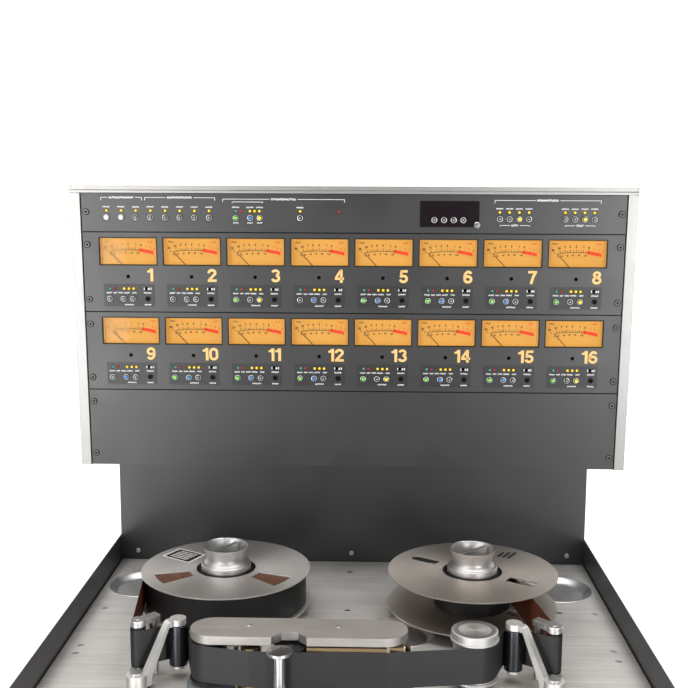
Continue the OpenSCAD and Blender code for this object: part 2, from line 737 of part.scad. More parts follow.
// Places children at each push button's centre on the bridge's face
module at_buttons() {
    for (row = [0, 1], i = [0 : 7], dx = button_dx)
        translate([channel_x(i) + dx, row_y(row) + button_dy, 0.8]) children();
    for (x = master_buttons) translate([x, master_button_y, 0]) children();
    for (i = [1 : 4]) translate([window_x[i], master_button_y - 2, 2]) children();
}
module push_buttons() {
    color("#2b2e36") bridge() at_buttons() translate([0, 0, 2]) cylinder(r = cap_r, h = button_h);
}
module slide_switches() {
    color("#0e0e0e") bridge() for (row = [0, 1], i = [0 : 7])
        translate([channel_x(i) + socket_dx + switch_travel / 2, row_y(row) + lamp_dy, 0.9])
            cube([3, 3.4, 4.4], center = true);
}

// A socket screw: head with a hexagon recess, and its shank below
module socket_screw(head_r, head_h, shank_r, shank) {
    difference() {
        cylinder(r = head_r, h = head_h);
        translate([0, 0, head_h * 0.4]) cylinder(r = head_r * 0.45, h = head_h, $fn = 6);
    }
    if (shank > 0) translate([0, 0, -shank]) cylinder(r = shank_r, h = shank + 0.2);
}
module panel_hardware() {
    color("#77787a") deck() {
        for (p = deck_screws) translate([p[0], p[1], -2.4]) socket_screw(4.4, 2.2, 2.4, 12);
        for (p = cover_screws) translate([p[0], p[1], cover_z + cover_t]) socket_screw(3.6, 1, 2, 10);
        for (s = [-1, 1]) translate([s * guide_x, guide_y, bracket_high]) socket_screw(4.2, 0.6, 1, 0);
        for (x = back_screw_x)
            translate([x, back_y, back_screw_z]) rotate([90, 0, 0]) socket_screw(4.2, 1.8, 2.4, 6);
    }
    color("#0d0d0d") bridge() {
        at_buttons() tube_h(ring_r, cap_r + 0.2, ring_h);
        for (row = [0, 1], i = [0 : 7]) {
            translate([channel_x(i) + socket_dx, row_y(row) + button_dy, 0.8]) tube_h(4.2, hole_r, 1.4);
            translate([channel_x(i) + socket_dx, row_y(row) + lamp_dy, 1.2]) difference() {
                cube([12, 6, 0.8], center = true);
                cube([slot_w, slot_h, 3], center = true);
            }
        }
        for (s = [-1, 1], panel = [[0, blank_h], [row2_y, unit3_h], [row1_y, unit3_h]])
            for (y = [screw_dy, panel[1] - screw_dy])
                translate([s * screw_x, panel[0] + y, 0]) socket_screw(5, 1.6, 2.4, 8);
        for (s = [-1, 1]) translate([s * screw_x, master_y + master_screw_dy, 0]) socket_screw(5, 1.6, 2.4, 8);
    }
}
module lamp_lenses() {
    color("#d7a21c") bridge() {
        for (row = [0, 1], i = [0 : 7], dx = lamp_dx)
            translate([channel_x(i) + dx, row_y(row) + lamp_dy, 1.2]) cube([4.8, 3.2, 0.8], center = true);
        for (x = master_lamps) translate([x, master_lamp_y, 0.4]) cube([4.8, 3.2, 0.8], center = true);
        span([display_x - display_w / 2, display_y - display_h / 2, 0],
             [display_x + display_w / 2, display_y + display_h / 2, 2]);
        for (x = window_x) translate([x, master_lamp_y - 1.6, 2.4]) cube([4.8, 3.2, 0.8], center = true);
    }
}

side_panels();
base_frame();
electronics_rack();
front_cover();
rear_cover();
back_panel();
deck_plate();
drive_motors();
supply_platter();
takeup_platter();
supply_reel();
takeup_reel();
supply_tape_pack();
takeup_tape_pack();
supply_reel_lock();
takeup_reel_lock();
left_tension_arm();
right_tension_arm();
left_tension_roller();
right_tension_roller();
left_guide_roller();
right_guide_roller();
guide_brackets();
timer_roller();
entry_roller();
headblock();
headblock_cover();
tape_heads();
capstan();
pinch_arm();
pinch_roller();
control_panel();
transport_keys();
bridge_case();
bridge_profiles();
master_panel();
meter_panels();
blank_panel();
meter_housings();
meter_windows();
push_buttons();
slide_switches();
panel_hardware();
lamp_lenses();
for (channel = [1 : 16])
    meter_needle(channel);
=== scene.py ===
import json
import math
import random
from functools import partial

import bmesh
import bpy
from mathutils import Matrix, Vector

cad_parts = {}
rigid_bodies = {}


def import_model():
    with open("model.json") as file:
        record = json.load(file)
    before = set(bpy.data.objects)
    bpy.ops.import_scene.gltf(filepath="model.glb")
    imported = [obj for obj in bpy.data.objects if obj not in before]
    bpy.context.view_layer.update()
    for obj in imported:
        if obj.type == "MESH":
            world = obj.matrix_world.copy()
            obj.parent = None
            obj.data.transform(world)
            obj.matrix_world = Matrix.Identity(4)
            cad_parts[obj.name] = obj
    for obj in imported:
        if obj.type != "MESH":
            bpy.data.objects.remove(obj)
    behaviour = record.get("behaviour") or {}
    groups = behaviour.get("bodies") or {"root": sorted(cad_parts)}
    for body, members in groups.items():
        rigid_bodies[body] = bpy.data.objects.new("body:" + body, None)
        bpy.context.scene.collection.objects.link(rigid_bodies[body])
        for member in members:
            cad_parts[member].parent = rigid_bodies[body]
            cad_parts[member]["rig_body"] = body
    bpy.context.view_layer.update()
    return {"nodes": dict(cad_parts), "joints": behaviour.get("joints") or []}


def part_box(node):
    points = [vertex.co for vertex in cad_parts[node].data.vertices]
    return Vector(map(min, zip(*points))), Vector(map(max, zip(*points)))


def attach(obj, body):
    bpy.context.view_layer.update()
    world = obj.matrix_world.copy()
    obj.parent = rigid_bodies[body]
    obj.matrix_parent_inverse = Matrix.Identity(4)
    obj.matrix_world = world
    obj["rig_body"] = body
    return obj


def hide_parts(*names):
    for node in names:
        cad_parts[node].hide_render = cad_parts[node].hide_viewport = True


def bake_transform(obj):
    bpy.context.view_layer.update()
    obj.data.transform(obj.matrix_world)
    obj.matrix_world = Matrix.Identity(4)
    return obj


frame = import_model()
nodes = frame["nodes"]
joints = {j["name"]: j for j in frame["joints"]}
scene = bpy.context.scene
MM = 0.001

# ---------- local frames, in millimetres ----------


def pivot(joint):
    return Vector(joints[joint]["pos_m"])


deck_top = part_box("deck_plate")[1].z
back_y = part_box("back_panel")[0].y
DECK = Matrix.Translation((0, back_y, deck_top)) @ Matrix.Scale(MM, 4)

OUT = -Vector(joints["needle_01_swing"]["axis"]).normalized()
RIGHT = Vector((1, 0, 0))
UP = OUT.cross(RIGHT).normalized()
PANEL_SEAM = 0.0008
face_out = max(v.co.dot(OUT) for v in nodes["master_panel"].data.vertices)
face_low = min(v.co.dot(UP) for v in nodes["blank_panel"].data.vertices) - PANEL_SEAM


def turn_to(x, y, z):
    """The turn whose local axes are these three directions."""
    return Matrix((x, y, z)).transposed().to_4x4()


BRIDGE = Matrix.Translation(OUT * face_out + UP * face_low) @ turn_to(RIGHT, UP, OUT) @ Matrix.Scale(MM, 4)
TO_BRIDGE = BRIDGE.inverted()
TO_DECK = DECK.inverted()
on_deck = {name: TO_DECK @ pivot(name) for name in joints if joints[name]["type"] == "hinge"}


def xy(joint):
    return (on_deck[joint].x, on_deck[joint].y)


def bridge_y(node, end):
    """How far up the bridge face a node starts (end 0) or stops (end 1)."""
    return (TO_BRIDGE @ Vector(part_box(node)[end])).y


# ---------- shapes: lists of points and faces ----------


def turned(profile, steps=48, closed=False, centre=(0, 0, 0)):
    """A surface turned about z from (radius, height) points."""
    verts, faces, rings = [], [], []
    for r, z in profile:
        if r < 1e-6:
            rings.append([len(verts)] * steps)
            verts.append((centre[0], centre[1], centre[2] + z))
            continue
        rings.append([len(verts) + i for i in range(steps)])
        for i in range(steps):
            a = 2 * math.pi * i / steps
            verts.append((centre[0] + r * math.cos(a), centre[1] + r * math.sin(a), centre[2] + z))
    pairs = list(zip(rings, rings[1:]))
    if closed:
        pairs.append((rings[-1], rings[0]))
    for low, high in pairs:
        for i in range(steps):
            k = (i + 1) % steps
            corners = []
            for c in (low[i], low[k], high[k], high[i]):
                if c not in corners:
                    corners.append(c)
            if len(corners) > 2:
                faces.append(corners)
    return verts, faces


def prism(outline, z0, z1):
    """A flat outline, anticlockwise, given thickness."""
    n = len(outline)
    verts = [(x, y, z0) for x, y in outline] + [(x, y, z1) for x, y in outline]
    faces = [list(range(n))[::-1], list(range(n, 2 * n))]
    faces += [[i, (i + 1) % n, n + (i + 1) % n, n + i] for i in range(n)]
    return verts, faces


def block(x0, y0, z0, x1, y1, z1):
    return prism([(x0, y0), (x1, y0), (x1, y1), (x0, y1)], z0, z1)


def rounded(x0, y0, x1, y1, r, steps=4):
    out = []
    corners = ((x1 - r, y0 + r, -90), (x1 - r, y1 - r, 0), (x0 + r, y1 - r, 90), (x0 + r, y0 + r, 180))
    for cx, cy, a0 in corners:
        for i in range(steps + 1):
            a = math.radians(a0 + 90 * i / steps)
            out.append((cx + r * math.cos(a), cy + r * math.sin(a)))
    return out


def moved(shape, dx, dy=0.0, dz=0.0, turn=0.0):
    c, s = math.cos(turn), math.sin(turn)
    return [(x * c - y * s + dx, x * s + y * c + dy, z + dz) for x, y, z in shape[0]], shape[1]


def joined(shapes):
    verts, faces = [], []
    for v, f in shapes:
        k = len(verts)
        verts += v
        faces += [[i + k for i in face] for face in f]
    return verts, faces


def added(name, data):
    o = bpy.data.objects.new(name, data)
    scene.collection.objects.link(o)
    return o


CAPITAL = 0.73  # a capital's height in the built-in font, for a size of 1


def lettering(text, height, weight, depth):
    """Numerals as a solid shape; height is that of a capital."""
    curve = bpy.data.curves.new("numeral", "FONT")
    curve.body = text
    curve.size = height / CAPITAL
    curve.extrude = depth / 2
    curve.offset = weight
    curve.resolution_u = 3
    curve.align_x = "CENTER"
    o = added("numeral", curve)
    mesh = bpy.data.meshes.new_from_object(o.evaluated_get(bpy.context.evaluated_depsgraph_get()))
    shape = [tuple(v.co) for v in mesh.vertices], [list(p.vertices) for p in mesh.polygons]
    bpy.data.objects.remove(o)
    bpy.data.curves.remove(curve)
    bpy.data.meshes.remove(mesh)
    return shape


WELD = 2e-6


def soften(bm, width, segments, angle=40):
    """Breaks the edges that turn by more than the angle; width is in millimetres."""
    edges = [e for e in bm.edges
             if len(e.link_faces) == 2 and e.calc_face_angle(0.0) > math.radians(angle)]
    bmesh.ops.bevel(bm, geom=edges, offset=width * MM, segments=segments, profile=0.5,
                    affect="EDGES", clamp_overlap=True)


def shown(name, bm, material, sharp, weighted, body):
    """An object from a bmesh, shaded smooth up to the sharp angle, that rides on a body."""
    mesh = bpy.data.meshes.new(name)
    bm.to_mesh(mesh)
    bm.free()
    mesh.materials.append(material)
    o = added(name, mesh)
    mesh.polygons.foreach_set("use_smooth", [True] * len(mesh.polygons))
    mesh.set_sharp_from_angle(angle=math.radians(sharp))
    if weighted:
        w = o.modifiers.new("flat faces", "WEIGHTED_NORMAL")
        w.keep_sharp = True
        w.weight = 100
    mesh.update()
    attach(o, body)
    return o


def piece(name, shape, place, material, body, slot, bevel=0.0, segments=2, sharp=35):
    """A named object of one shape, given in the local millimetres of a place."""
    bm = bmesh.new()
    points = [bm.verts.new(place @ Vector(v)) for v in shape[0]]
    for f in shape[1]:
        try:
            bm.faces.new([points[i] for i in f])
        except ValueError:
            continue
    bm.normal_update()
    if bevel:
        soften(bm, bevel, segments)
    return shown(name, bm, material, sharp, bool(bevel), body)


def fixed(name, shapes, place, material, slot, **finish):
    """A piece of several shapes that rides on the cabinet."""
    return piece(name, joined(shapes), place, material, "cabinet", slot, **finish)


def cad_mesh(node):
    bm = bmesh.new()
    bm.from_mesh(nodes[node].data)
    bmesh.ops.remove_doubles(bm, verts=bm.verts, dist=WELD)
    return bm


def beveled(node, width, material, segments):
    """A copy of a CAD node with its edges broken, which stands for the node."""
    bm = cad_mesh(node)
    bmesh.ops.dissolve_limit(bm, angle_limit=math.radians(0.3), verts=bm.verts, edges=bm.edges)
    soften(bm, width, segments)
    o = shown("look_" + node, bm, material, 35, True, nodes[node]["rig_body"])
    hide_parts(node)


def islands(node, to_local):
    """The middle and size of each separate solid in a CAD node, in local millimetres."""
    bm = cad_mesh(node)
    bm.verts.ensure_lookup_table()
    seen, found = [False] * len(bm.verts), []
    for start in range(len(bm.verts)):
        if seen[start]:
            continue
        seen[start] = True
        stack, part = [bm.verts[start]], []
        while stack:
            v = stack.pop()
            part.append(to_local @ v.co)
            for e in v.link_edges:
                other = e.other_vert(v)
                if not seen[other.index]:
                    seen[other.index] = True
                    stack.append(other)
        low = Vector([min(p[k] for p in part) for k in range(3)])
        high = Vector([max(p[k] for p in part) for k in range(3)])
        found.append(((low + high) / 2, high - low))
    bm.free()
    return found


# ---------- materials ----------


def srgb(value):
    """Linear colour from sRGB numbers of 0 to 255."""
    if isinstance(value, (int, float)):
        value = (value,) * 3
    out = [c / 255 / 12.92 if c <= 10 else ((c / 255 + 0.055) / 1.055) ** 2.4 for c in value]
    return (*out, 1.0)


class Look:
    """A node material under construction."""

    def __init__(self, name, colour, rough, metal=0.0, specular=0.5):
        self.material = bpy.data.materials.new(name)
        self.material.use_nodes = True
        self.tree = self.material.node_tree
        self.shader = self.tree.nodes["Principled BSDF"]
        self.set("Base Color", srgb(colour))
        self.set("Roughness", rough)
        self.set("Metallic", metal)
        self.set("Specular IOR Level", specular)
        self.colour, self.rough = srgb(colour), rough
        self.material.diffuse_color = srgb(colour)

    def feed(self, socket, value):
        """Gives an input a value, or links it to another node's output."""
        if isinstance(value, bpy.types.NodeSocket):
            self.tree.links.new(value, socket)
        else:
            socket.default_value = value

    def set(self, name, value):
        self.feed(self.shader.inputs[name], value)

    def node(self, kind, **settings):
        """A new node; each setting is an input or, failing that, a property."""
        n = self.tree.nodes.new("ShaderNode" + kind)
        for key, value in settings.items():
            if key in n.inputs:
                self.feed(n.inputs[key], value)
            else:
                setattr(n, key, value)
        return n

    def math(self, operation, a, b=0.0):
        n = self.node("Math", operation=operation)
        self.feed(n.inputs[0], a)
        self.feed(n.inputs[1], b)
        return n.outputs[0]

    def mix(self, fac, a, b):
        """A blend of two colours; a node's colour sockets are its inputs 6 and 7 and output 2."""
        n = self.node("Mix", data_type="RGBA")
        for i, value in ((0, fac), (6, a), (7, b)):
            self.feed(n.inputs[i], value)
        return n.outputs[2]

    def split(self, vector):
        return self.node("SeparateXYZ", Vector=vector).outputs

    def joined(self, x, y, z):
        return self.node("CombineXYZ", X=x, Y=y, Z=z).outputs[0]

    def place(self, centre=None):
        """Object coordinates, from a centre."""
        out = self.node("TexCoord").outputs["Object"]
        if centre is None:
            return out
        n = self.node("VectorMath", operation="SUBTRACT")
        self.feed(n.inputs[0], out)
        self.feed(n.inputs[1], centre)
        return n.outputs[0]

    def stretched(self, scale):
        return self.node("Mapping", vector_type="POINT", Vector=self.place(), Scale=scale).outputs[0]

    def polar(self, centre, radial, around, along=0.0):
        """Coordinates in which noise makes turned rings (radial high) or rays (around high)."""
        times = partial(self.math, "MULTIPLY")
        x, y, z = self.split(self.place(centre))
        r = self.math("SQRT", self.math("ADD", times(x, x), times(y, y)))
        a = self.math("ARCTAN2", y, x)
        rise = self.math("ADD", times(self.math("SINE", a), around), times(z, along))
        return self.joined(times(r, radial), times(self.math("COSINE", a), around), rise)

    def noise(self, vector, scale=1.0, detail=2.0, roughness=0.6):
        n = self.node("TexNoise", Scale=scale, Detail=detail, Roughness=roughness, Vector=vector)
        return n.outputs["Fac"]

    def ramp(self, fac, stops):
        n = self.node("ValToRGB")
        self.feed(n.inputs[0], fac)
        elements = n.color_ramp.elements
        while len(elements) < len(stops):
            elements.new(0.5)
        for e, (pos, value) in zip(elements, stops):
            e.position = pos
            e.color = value if not isinstance(value, (int, float)) else (value,) * 3 + (1,)
        return n.outputs[0]

    def remap(self, fac, low, high, a=0.0, b=1.0):
        n = self.node("MapRange", Value=fac)
        for key, value in (("From Min", a), ("From Max", b), ("To Min", low), ("To Max", high)):
            n.inputs[key].default_value = value
        return n.outputs[0]

    def vary_rough(self, fac, spread):
        self.set("Roughness", self.remap(fac, self.rough - spread, self.rough + spread, 0.25, 0.75))

    def scaled(self, factor):
        return tuple(min(c * factor, 1) for c in self.colour[:3]) + (1,)

    def vary_colour(self, fac, darker, lighter):
        """Scales the base colour between two factors."""
        self.set("Base Color", self.ramp(fac, [(0.3, self.scaled(darker)), (0.7, self.scaled(lighter))]))

    def bump(self, fac, height_mm):
        self.set("Normal", self.node("Bump", Strength=1.0, Distance=height_mm * MM, Height=fac).outputs[0])

    def anisotropic(self, amount, tangent):
        self.set("Anisotropic", amount)
        self.set("Tangent", tangent)


def painted(name, colour, rough, grain=0.02, specular=0.5, texture=2600, rubbed=None):
    """Sprayed paint with a fine orange-peel surface and slight cloudiness, rubbed brighter at its edges."""
    look = Look(name, colour, rough, specular=specular)
    fine = look.noise(look.place(), texture, 3)
    cloud = look.noise(look.place(), 9, 2)
    look.vary_colour(cloud, 0.93, 1.07)
    look.vary_rough(cloud, 0.04)
    look.bump(fine, grain)
    if rubbed:
        amount, tint = rubbed
        fac = look.remap(look.node("NewGeometry").outputs["Pointiness"], 0.0, amount, 0.52, 0.60)
        base = look.shader.inputs["Base Color"].links[0].from_socket
        look.set("Base Color", look.mix(fac, base, srgb(tint)))
    return look.material


def finely_cut(look, vector, depth, darker, lighter):
    """Brush or lathe lines in a metal, along the way that a coordinate is stretched."""
    lines = look.noise(vector, 1.0, 3, 0.7)
    cloud = look.noise(look.place(), 14, 2)
    both = look.math("ADD", look.math("MULTIPLY", lines, 0.75), look.math("MULTIPLY", cloud, 0.25))
    look.vary_colour(both, darker, lighter)
    look.vary_rough(both, 0.07)
    look.bump(lines, depth)


def brushed(name, colour, rough, stretch, depth=0.004, darker=0.9, lighter=1.08, aniso=0.0):
    """Metal with straight brush lines; aniso spreads light across lines that run along x."""
    look = Look(name, colour, rough, metal=1.0)
    finely_cut(look, look.stretched(stretch), depth, darker, lighter)
    if aniso:
        look.anisotropic(aniso, look.joined(0.0, 1.0, 0.0))
    return look.material


def turned_metal(name, colour, rough, centre, depth=0.003, darker=0.88, lighter=1.08, radial=1800, aniso=0.0):
    """Metal with lathe lines around a centre; aniso spreads light across them."""
    look = Look(name, colour, rough, metal=1.0)
    finely_cut(look, look.polar(centre, radial, 1.6, radial), depth, darker, lighter)
    if aniso:
        look.anisotropic(aniso, look.node("Tangent", direction_type="RADIAL", axis="Z").outputs[0])
    return look.material


def plastic(name, colour, rough, texture=1800, grain=0.01, specular=0.5):
    look = Look(name, colour, rough, specular=specular)
    fine = look.noise(look.place(), texture, 2)
    look.vary_colour(look.noise(look.place(), 60, 2), 0.94, 1.06)
    look.vary_rough(fine, 0.05)
    look.bump(fine, grain)
    return look.material


def glowing(name, colour, strength, rough=0.3):
    """A lit lens: coloured plastic with its own light, a little uneven."""
    look = Look(name, colour, rough)
    fac = look.noise(look.place(), 700, 1)
    look.set("Emission Color", look.ramp(fac, [(0.3, look.scaled(0.8)), (0.7, look.colour)]))
    look.vary_colour(fac, 0.6, 0.9)
    look.set("Emission Strength", strength)
    return look.material


supply_at = pivot("supply_spin")
takeup_at = pivot("takeup_spin")

BLACK = painted("black sheet paint", (44, 44, 46), 0.42, 0.02, rubbed=(0.25, 110))
STEEL_DARK = painted("frame paint", (34, 35, 37), 0.5, 0.03)
ZINC = brushed("zinc steel", (150, 152, 155), 0.38, (40, 40, 300))
COVER = painted("cover paint", (48, 48, 50), 0.48, 0.03)
PANEL = painted("panel paint", (42, 42, 42), 0.36, 0.03, specular=0.55, texture=1400)
PLATE = painted("channel plate", (34, 34, 35), 0.4, 0.02, specular=0.45)
BACK = painted("back panel paint", (46, 46, 47), 0.4, 0.03, specular=0.5, texture=1400)
CASE = painted("bridge case paint", (34, 35, 37), 0.5, 0.03)
DECK_METAL = brushed("brushed deck", (194, 191, 187), 0.52, (4, 620, 620), 0.006, 0.72, 1.16, aniso=0.7)
WELL = brushed("spun well", (222, 221, 220), 0.42, (60, 60, 60), 0.002, 0.92, 1.06)
COVER_METAL = brushed("brushed cover", (178, 174, 170), 0.46, (8, 500, 500), 0.005, 0.88, 1.08, aniso=0.6)
PROFILE = brushed("anodised profile", (146, 145, 143), 0.42, (900, 900, 14), 0.003, 0.93, 1.05)
# A near-white copy of the profile metal: a painted highlight for the profiles' upward faces.
PROFILE_TOP_HIGHLIGHT = brushed("anodised top painted highlight", (240, 240, 239), 0.42, (8, 900, 900), 0.002, 0.97, 1.03)
SILVER = brushed("machined aluminium", (212, 211, 210), 0.38, (500, 500, 1500), 0.002, 0.9, 1.06)
CHROME = brushed("polished steel", (212, 212, 214), 0.16, (300, 300, 900), 0.001, 0.95, 1.03)
DARK_STEEL = brushed("dark roller steel", (84, 86, 92), 0.2, (30, 30, 1400), 0.001, 0.85, 1.1)
CAST = painted("cast grey", (105, 108, 112), 0.6, 0.08, texture=900)
BRONZE = brushed("head bronze", (150, 128, 96), 0.35, (900, 40, 900), 0.003)
GREY_METAL = painted("motor grey", (80, 83, 87), 0.5, 0.04)
RUBBER = plastic("rubber", (20, 20, 21), 0.72, 900, 0.03)
BLACK_PLASTIC = plastic("black plastic", (15, 15, 16), 0.4, specular=0.3)
# Near-black for painted shade in holes, slot backs, screw recesses and panel seams, and for the printed timer
# ticks.
SHADE_BLACK_AND_PRINT = plastic("painted shade and print black", (4, 4, 4), 0.9, specular=0.1)
METER_BLACK = plastic("meter black", (9, 9, 9), 0.5, specular=0.15)
CAP = plastic("button cap", (20, 20, 22), 0.3)
CAP_WHITE = plastic("white cap", (200, 199, 196), 0.35)
KEY = plastic("key plastic", (214, 213, 208), 0.42)
SCREW_DARK = brushed("black screw", (38, 38, 40), 0.34, (600, 600, 600), 0.002)
SCREW_GREY = brushed("grey screw", (92, 92, 91), 0.45, (600, 600, 600), 0.002)
ARM_METAL = brushed("satin arm", (234, 232, 228), 0.5, (500, 500, 1500), 0.002, 0.93, 1.04)
SCREW = brushed("steel screw", (196, 195, 193), 0.36, (600, 600, 600), 0.002)
NEEDLE = plastic("needle black", (12, 12, 12), 0.4)
PRINT_WHITE = plastic("white print", (222, 222, 220), 0.6, 1200, 0.002)
PRINT_CREAM = plastic("cream print", (228, 182, 112), 0.6, 1200, 0.002)
PRINT_BLACK = plastic("black print", (38, 26, 12), 0.6, 1200, 0.001)
LABEL_DARK = plastic("label ink", (32, 30, 29), 0.5, 900, 0.002)
LABEL_PALE = plastic("label paper", (206, 203, 196), 0.6, 900, 0.002)
CLEAR = plastic("unlit lens", (150, 154, 166), 0.22)
RING = brushed("satin ring", (226, 225, 222), 0.42, (300, 300, 900), 0.001, 0.95, 1.03)

GREEN = glowing("lit green", (96, 200, 40), 1.0)
YELLOW = glowing("lit yellow", (250, 214, 20), 1.05)
BLUE = glowing("lit blue", (40, 120, 190), 0.7)
TEAL = glowing("lit teal", (60, 140, 125), 0.55)
RED = glowing("lit red", (178, 2, 16), 0.5)
RED_DIM = glowing("dim red", (160, 2, 12), 0.45)
AMBER = glowing("lit amber", (248, 198, 4), 0.85)
PRINT_RED = glowing("scale orange", (220, 48, 0), 0.5, 0.6)


LOCK_LEFT = turned_metal("supply lock metal", (190, 189, 188), 0.44, supply_at, 0.003)
LOCK_RIGHT = turned_metal("takeup lock metal", (190, 188, 186), 0.44, takeup_at, 0.003)
PLATTER_LEFT = turned_metal("supply platter metal", (150, 152, 154), 0.4, supply_at, 0.004)
PLATTER_RIGHT = turned_metal("takeup platter metal", (150, 152, 154), 0.4, takeup_at, 0.004)
TIMER = turned_metal("timer metal", (206, 205, 203), 0.5, pivot("timer_spin"), 0.002, aniso=0.4)
CAPSTAN = turned_metal("capstan metal", (215, 215, 217), 0.2, pivot("capstan_spin"), 0.001)
FLANGE_LEFT = turned_metal("supply flange", (214, 210, 206), 0.52, supply_at, 0.002, 0.94, 1.05, 1500, 0.45)
FLANGE_RIGHT = turned_metal("takeup flange", (206, 198, 190), 0.52, takeup_at, 0.002, 0.94, 1.05, 1500, 0.45)


def pack_look(name, centre):
    """Wound tape: brown rings on its flat sides, black back coating on its rim."""
    look = Look(name, (24, 22, 22), 0.5)
    rings = look.noise(look.polar(centre, 5200, 0.4), 1.0, 3, 0.8)
    steps = look.noise(look.polar(centre, 260, 0.3), 1.0, 2, 0.5)
    both = look.math("ADD", look.math("MULTIPLY", rings, 0.5), look.math("MULTIPLY", steps, 0.5))
    side = look.ramp(both, [(0.35, srgb((58, 34, 24))), (0.65, srgb((112, 74, 54)))])
    rim = look.ramp(look.noise(look.stretched((20, 20, 3000)), 1.0, 2), [(0.3, srgb(20)), (0.7, srgb(34))])
    normal = look.split(look.node("NewGeometry").outputs["Normal"])
    flat = look.math("GREATER_THAN", look.math("ABSOLUTE", normal[2]), 0.5)
    look.set("Base Color", look.mix(flat, rim, side))
    look.vary_rough(rings, 0.08)
    look.bump(both, 0.05)
    return look.material


PACK_LEFT = pack_look("supply tape", supply_at)
PACK_RIGHT = pack_look("takeup tape", takeup_at)


def tape_look(name, colour, rough):
    look = Look(name, colour, rough)
    streaks = look.noise(look.stretched((3, 3, 1600)), 1.0, 2)
    look.vary_colour(streaks, 0.88, 1.1)
    look.vary_rough(streaks, 0.05)
    look.bump(streaks, 0.002)
    return look.material


TAPE_BACK = tape_look("tape back coat", (27, 26, 27), 0.55)
TAPE_OXIDE = tape_look("tape oxide", (98, 54, 34), 0.35)


def glass_look():
    look = Look("meter glass", (255, 252, 244), 0.05)
    look.set("Transmission Weight", 1.0)
    look.set("IOR", 1.12)
    look.vary_rough(look.noise(look.place(), 40, 2), 0.01)
    return look.material


GLASS = glass_look()


def face_look(name, warm):
    """A backlit scale plate: amber light, fainter towards its ends; on the meter walls the same glow is painted
    light.
    """
    look = Look(name, (120, 84, 34), 0.6)
    across = look.split(look.node("TexCoord").outputs["Generated"])[0]
    x = look.ramp(across, [(0.0, 0.70), (0.09, 0.93), (0.35, 1.0), (0.75, 1.0), (1.0, 0.93)])
    tone = look.ramp(look.noise(look.place(), 60, 2), [(0.3, 0.97), (0.7, 1.0)])
    look.set("Emission Color", look.mix(look.math("MULTIPLY", x, tone), (0, 0, 0, 1), srgb(warm)))
    look.set("Emission Strength", 0.8)
    return look.material


FACE = face_look("meter face", (228, 166, 70))
# The meter walls and ledges glow amber: painted light, for the face's light falling on them.
FACE_GLOW_PAINT = face_look("meter wall painted glow", (206, 150, 76))


def display_look():
    look = Look("display window", (18, 9, 15), 0.22, specular=0.25)
    look.vary_colour(look.noise(look.stretched((12, 50, 50)), 1.0, 2), 0.8, 1.25)
    look.vary_rough(look.noise(look.place(), 200, 2), 0.03)
    return look.material


DISPLAY = display_look()

# ---------- CAD nodes that keep their shape ----------


def dress(node, material):
    mesh = nodes[node].data
    mesh.materials.clear()
    mesh.materials.append(material)


for node, material in (
    ("base_frame", STEEL_DARK),
    ("electronics_rack", ZINC),
    ("drive_motors", GREY_METAL),
    ("supply_tape_pack", PACK_LEFT),
    ("takeup_tape_pack", PACK_RIGHT),
    ("pinch_arm", SILVER),
    ("meter_windows", GLASS),
    ("bridge_case", CASE),
):
    dress(node, material)
for channel in range(1, 17):
    dress(f"meter_needle_{channel:02d}", NEEDLE)

for node, width, material, slot in (
    ("side_panels", 0.5, BLACK, "black_sheet"),
    ("front_cover", 0.4, COVER, "cover_paint"),
    ("rear_cover", 0.4, COVER, "cover_paint"),
    ("back_panel", 0.6, BACK, "panel_paint"),
    ("deck_plate", 0.6, DECK_METAL, "brushed_plate"),
    ("supply_platter", 0.8, PLATTER_LEFT, "turned_aluminium"),
    ("takeup_platter", 0.8, PLATTER_RIGHT, "turned_aluminium"),
    ("supply_reel", 0.35, FLANGE_LEFT, "reel_flange"),
    ("takeup_reel", 0.35, FLANGE_RIGHT, "reel_flange"),
    ("supply_reel_lock", 0.5, LOCK_LEFT, "turned_aluminium"),
    ("takeup_reel_lock", 0.5, LOCK_RIGHT, "turned_aluminium"),
    ("left_tension_arm", 0.5, ARM_METAL, "polished_steel"),
    ("right_tension_arm", 0.5, ARM_METAL, "polished_steel"),
    ("left_tension_roller", 0.5, DARK_STEEL, "dark_steel"),
    ("right_tension_roller", 0.5, DARK_STEEL, "dark_steel"),
    ("left_guide_roller", 0.4, BLACK_PLASTIC, "dark_steel"),
    ("right_guide_roller", 0.4, BLACK_PLASTIC, "dark_steel"),
    ("guide_brackets", 0.8, SILVER, "polished_steel"),
    ("timer_roller", 0.6, TIMER, "turned_aluminium"),
    ("entry_roller", 0.5, BLACK_PLASTIC, "dark_steel"),
    ("headblock", 0.8, CAST, "cast_grey"),
    ("headblock_cover", 1.4, COVER_METAL, "turned_aluminium"),
    ("tape_heads", 0.6, BRONZE, "bronze"),
    ("capstan", 0.5, CAPSTAN, "polished_steel"),
    ("pinch_roller", 1.0, RUBBER, "roller_rubber"),
    ("control_panel", 0.6, PANEL, "panel_paint"),
    ("bridge_profiles", 0.7, PROFILE, "silver_profile"),
    ("master_panel", 0.35, PANEL, "panel_paint"),
    ("meter_panels", 0.35, PANEL, "panel_paint"),
    ("blank_panel", 0.35, PANEL, "panel_paint"),
    ("meter_housings", 0.25, METER_BLACK, "meter_black"),
):
    beveled(node, width, material, 3 if width > 1 else 2)

# The upward faces of the profiles get the near-white copy: a painted highlight.
profiles = bpy.data.objects["look_bridge_profiles"].data
profiles.materials.append(PROFILE_TOP_HIGHLIGHT)
for face in profiles.polygons:
    if face.normal.z > 0.9:
        face.material_index = 1

# ---------- bridge: buttons, lamps, sockets, screws ----------

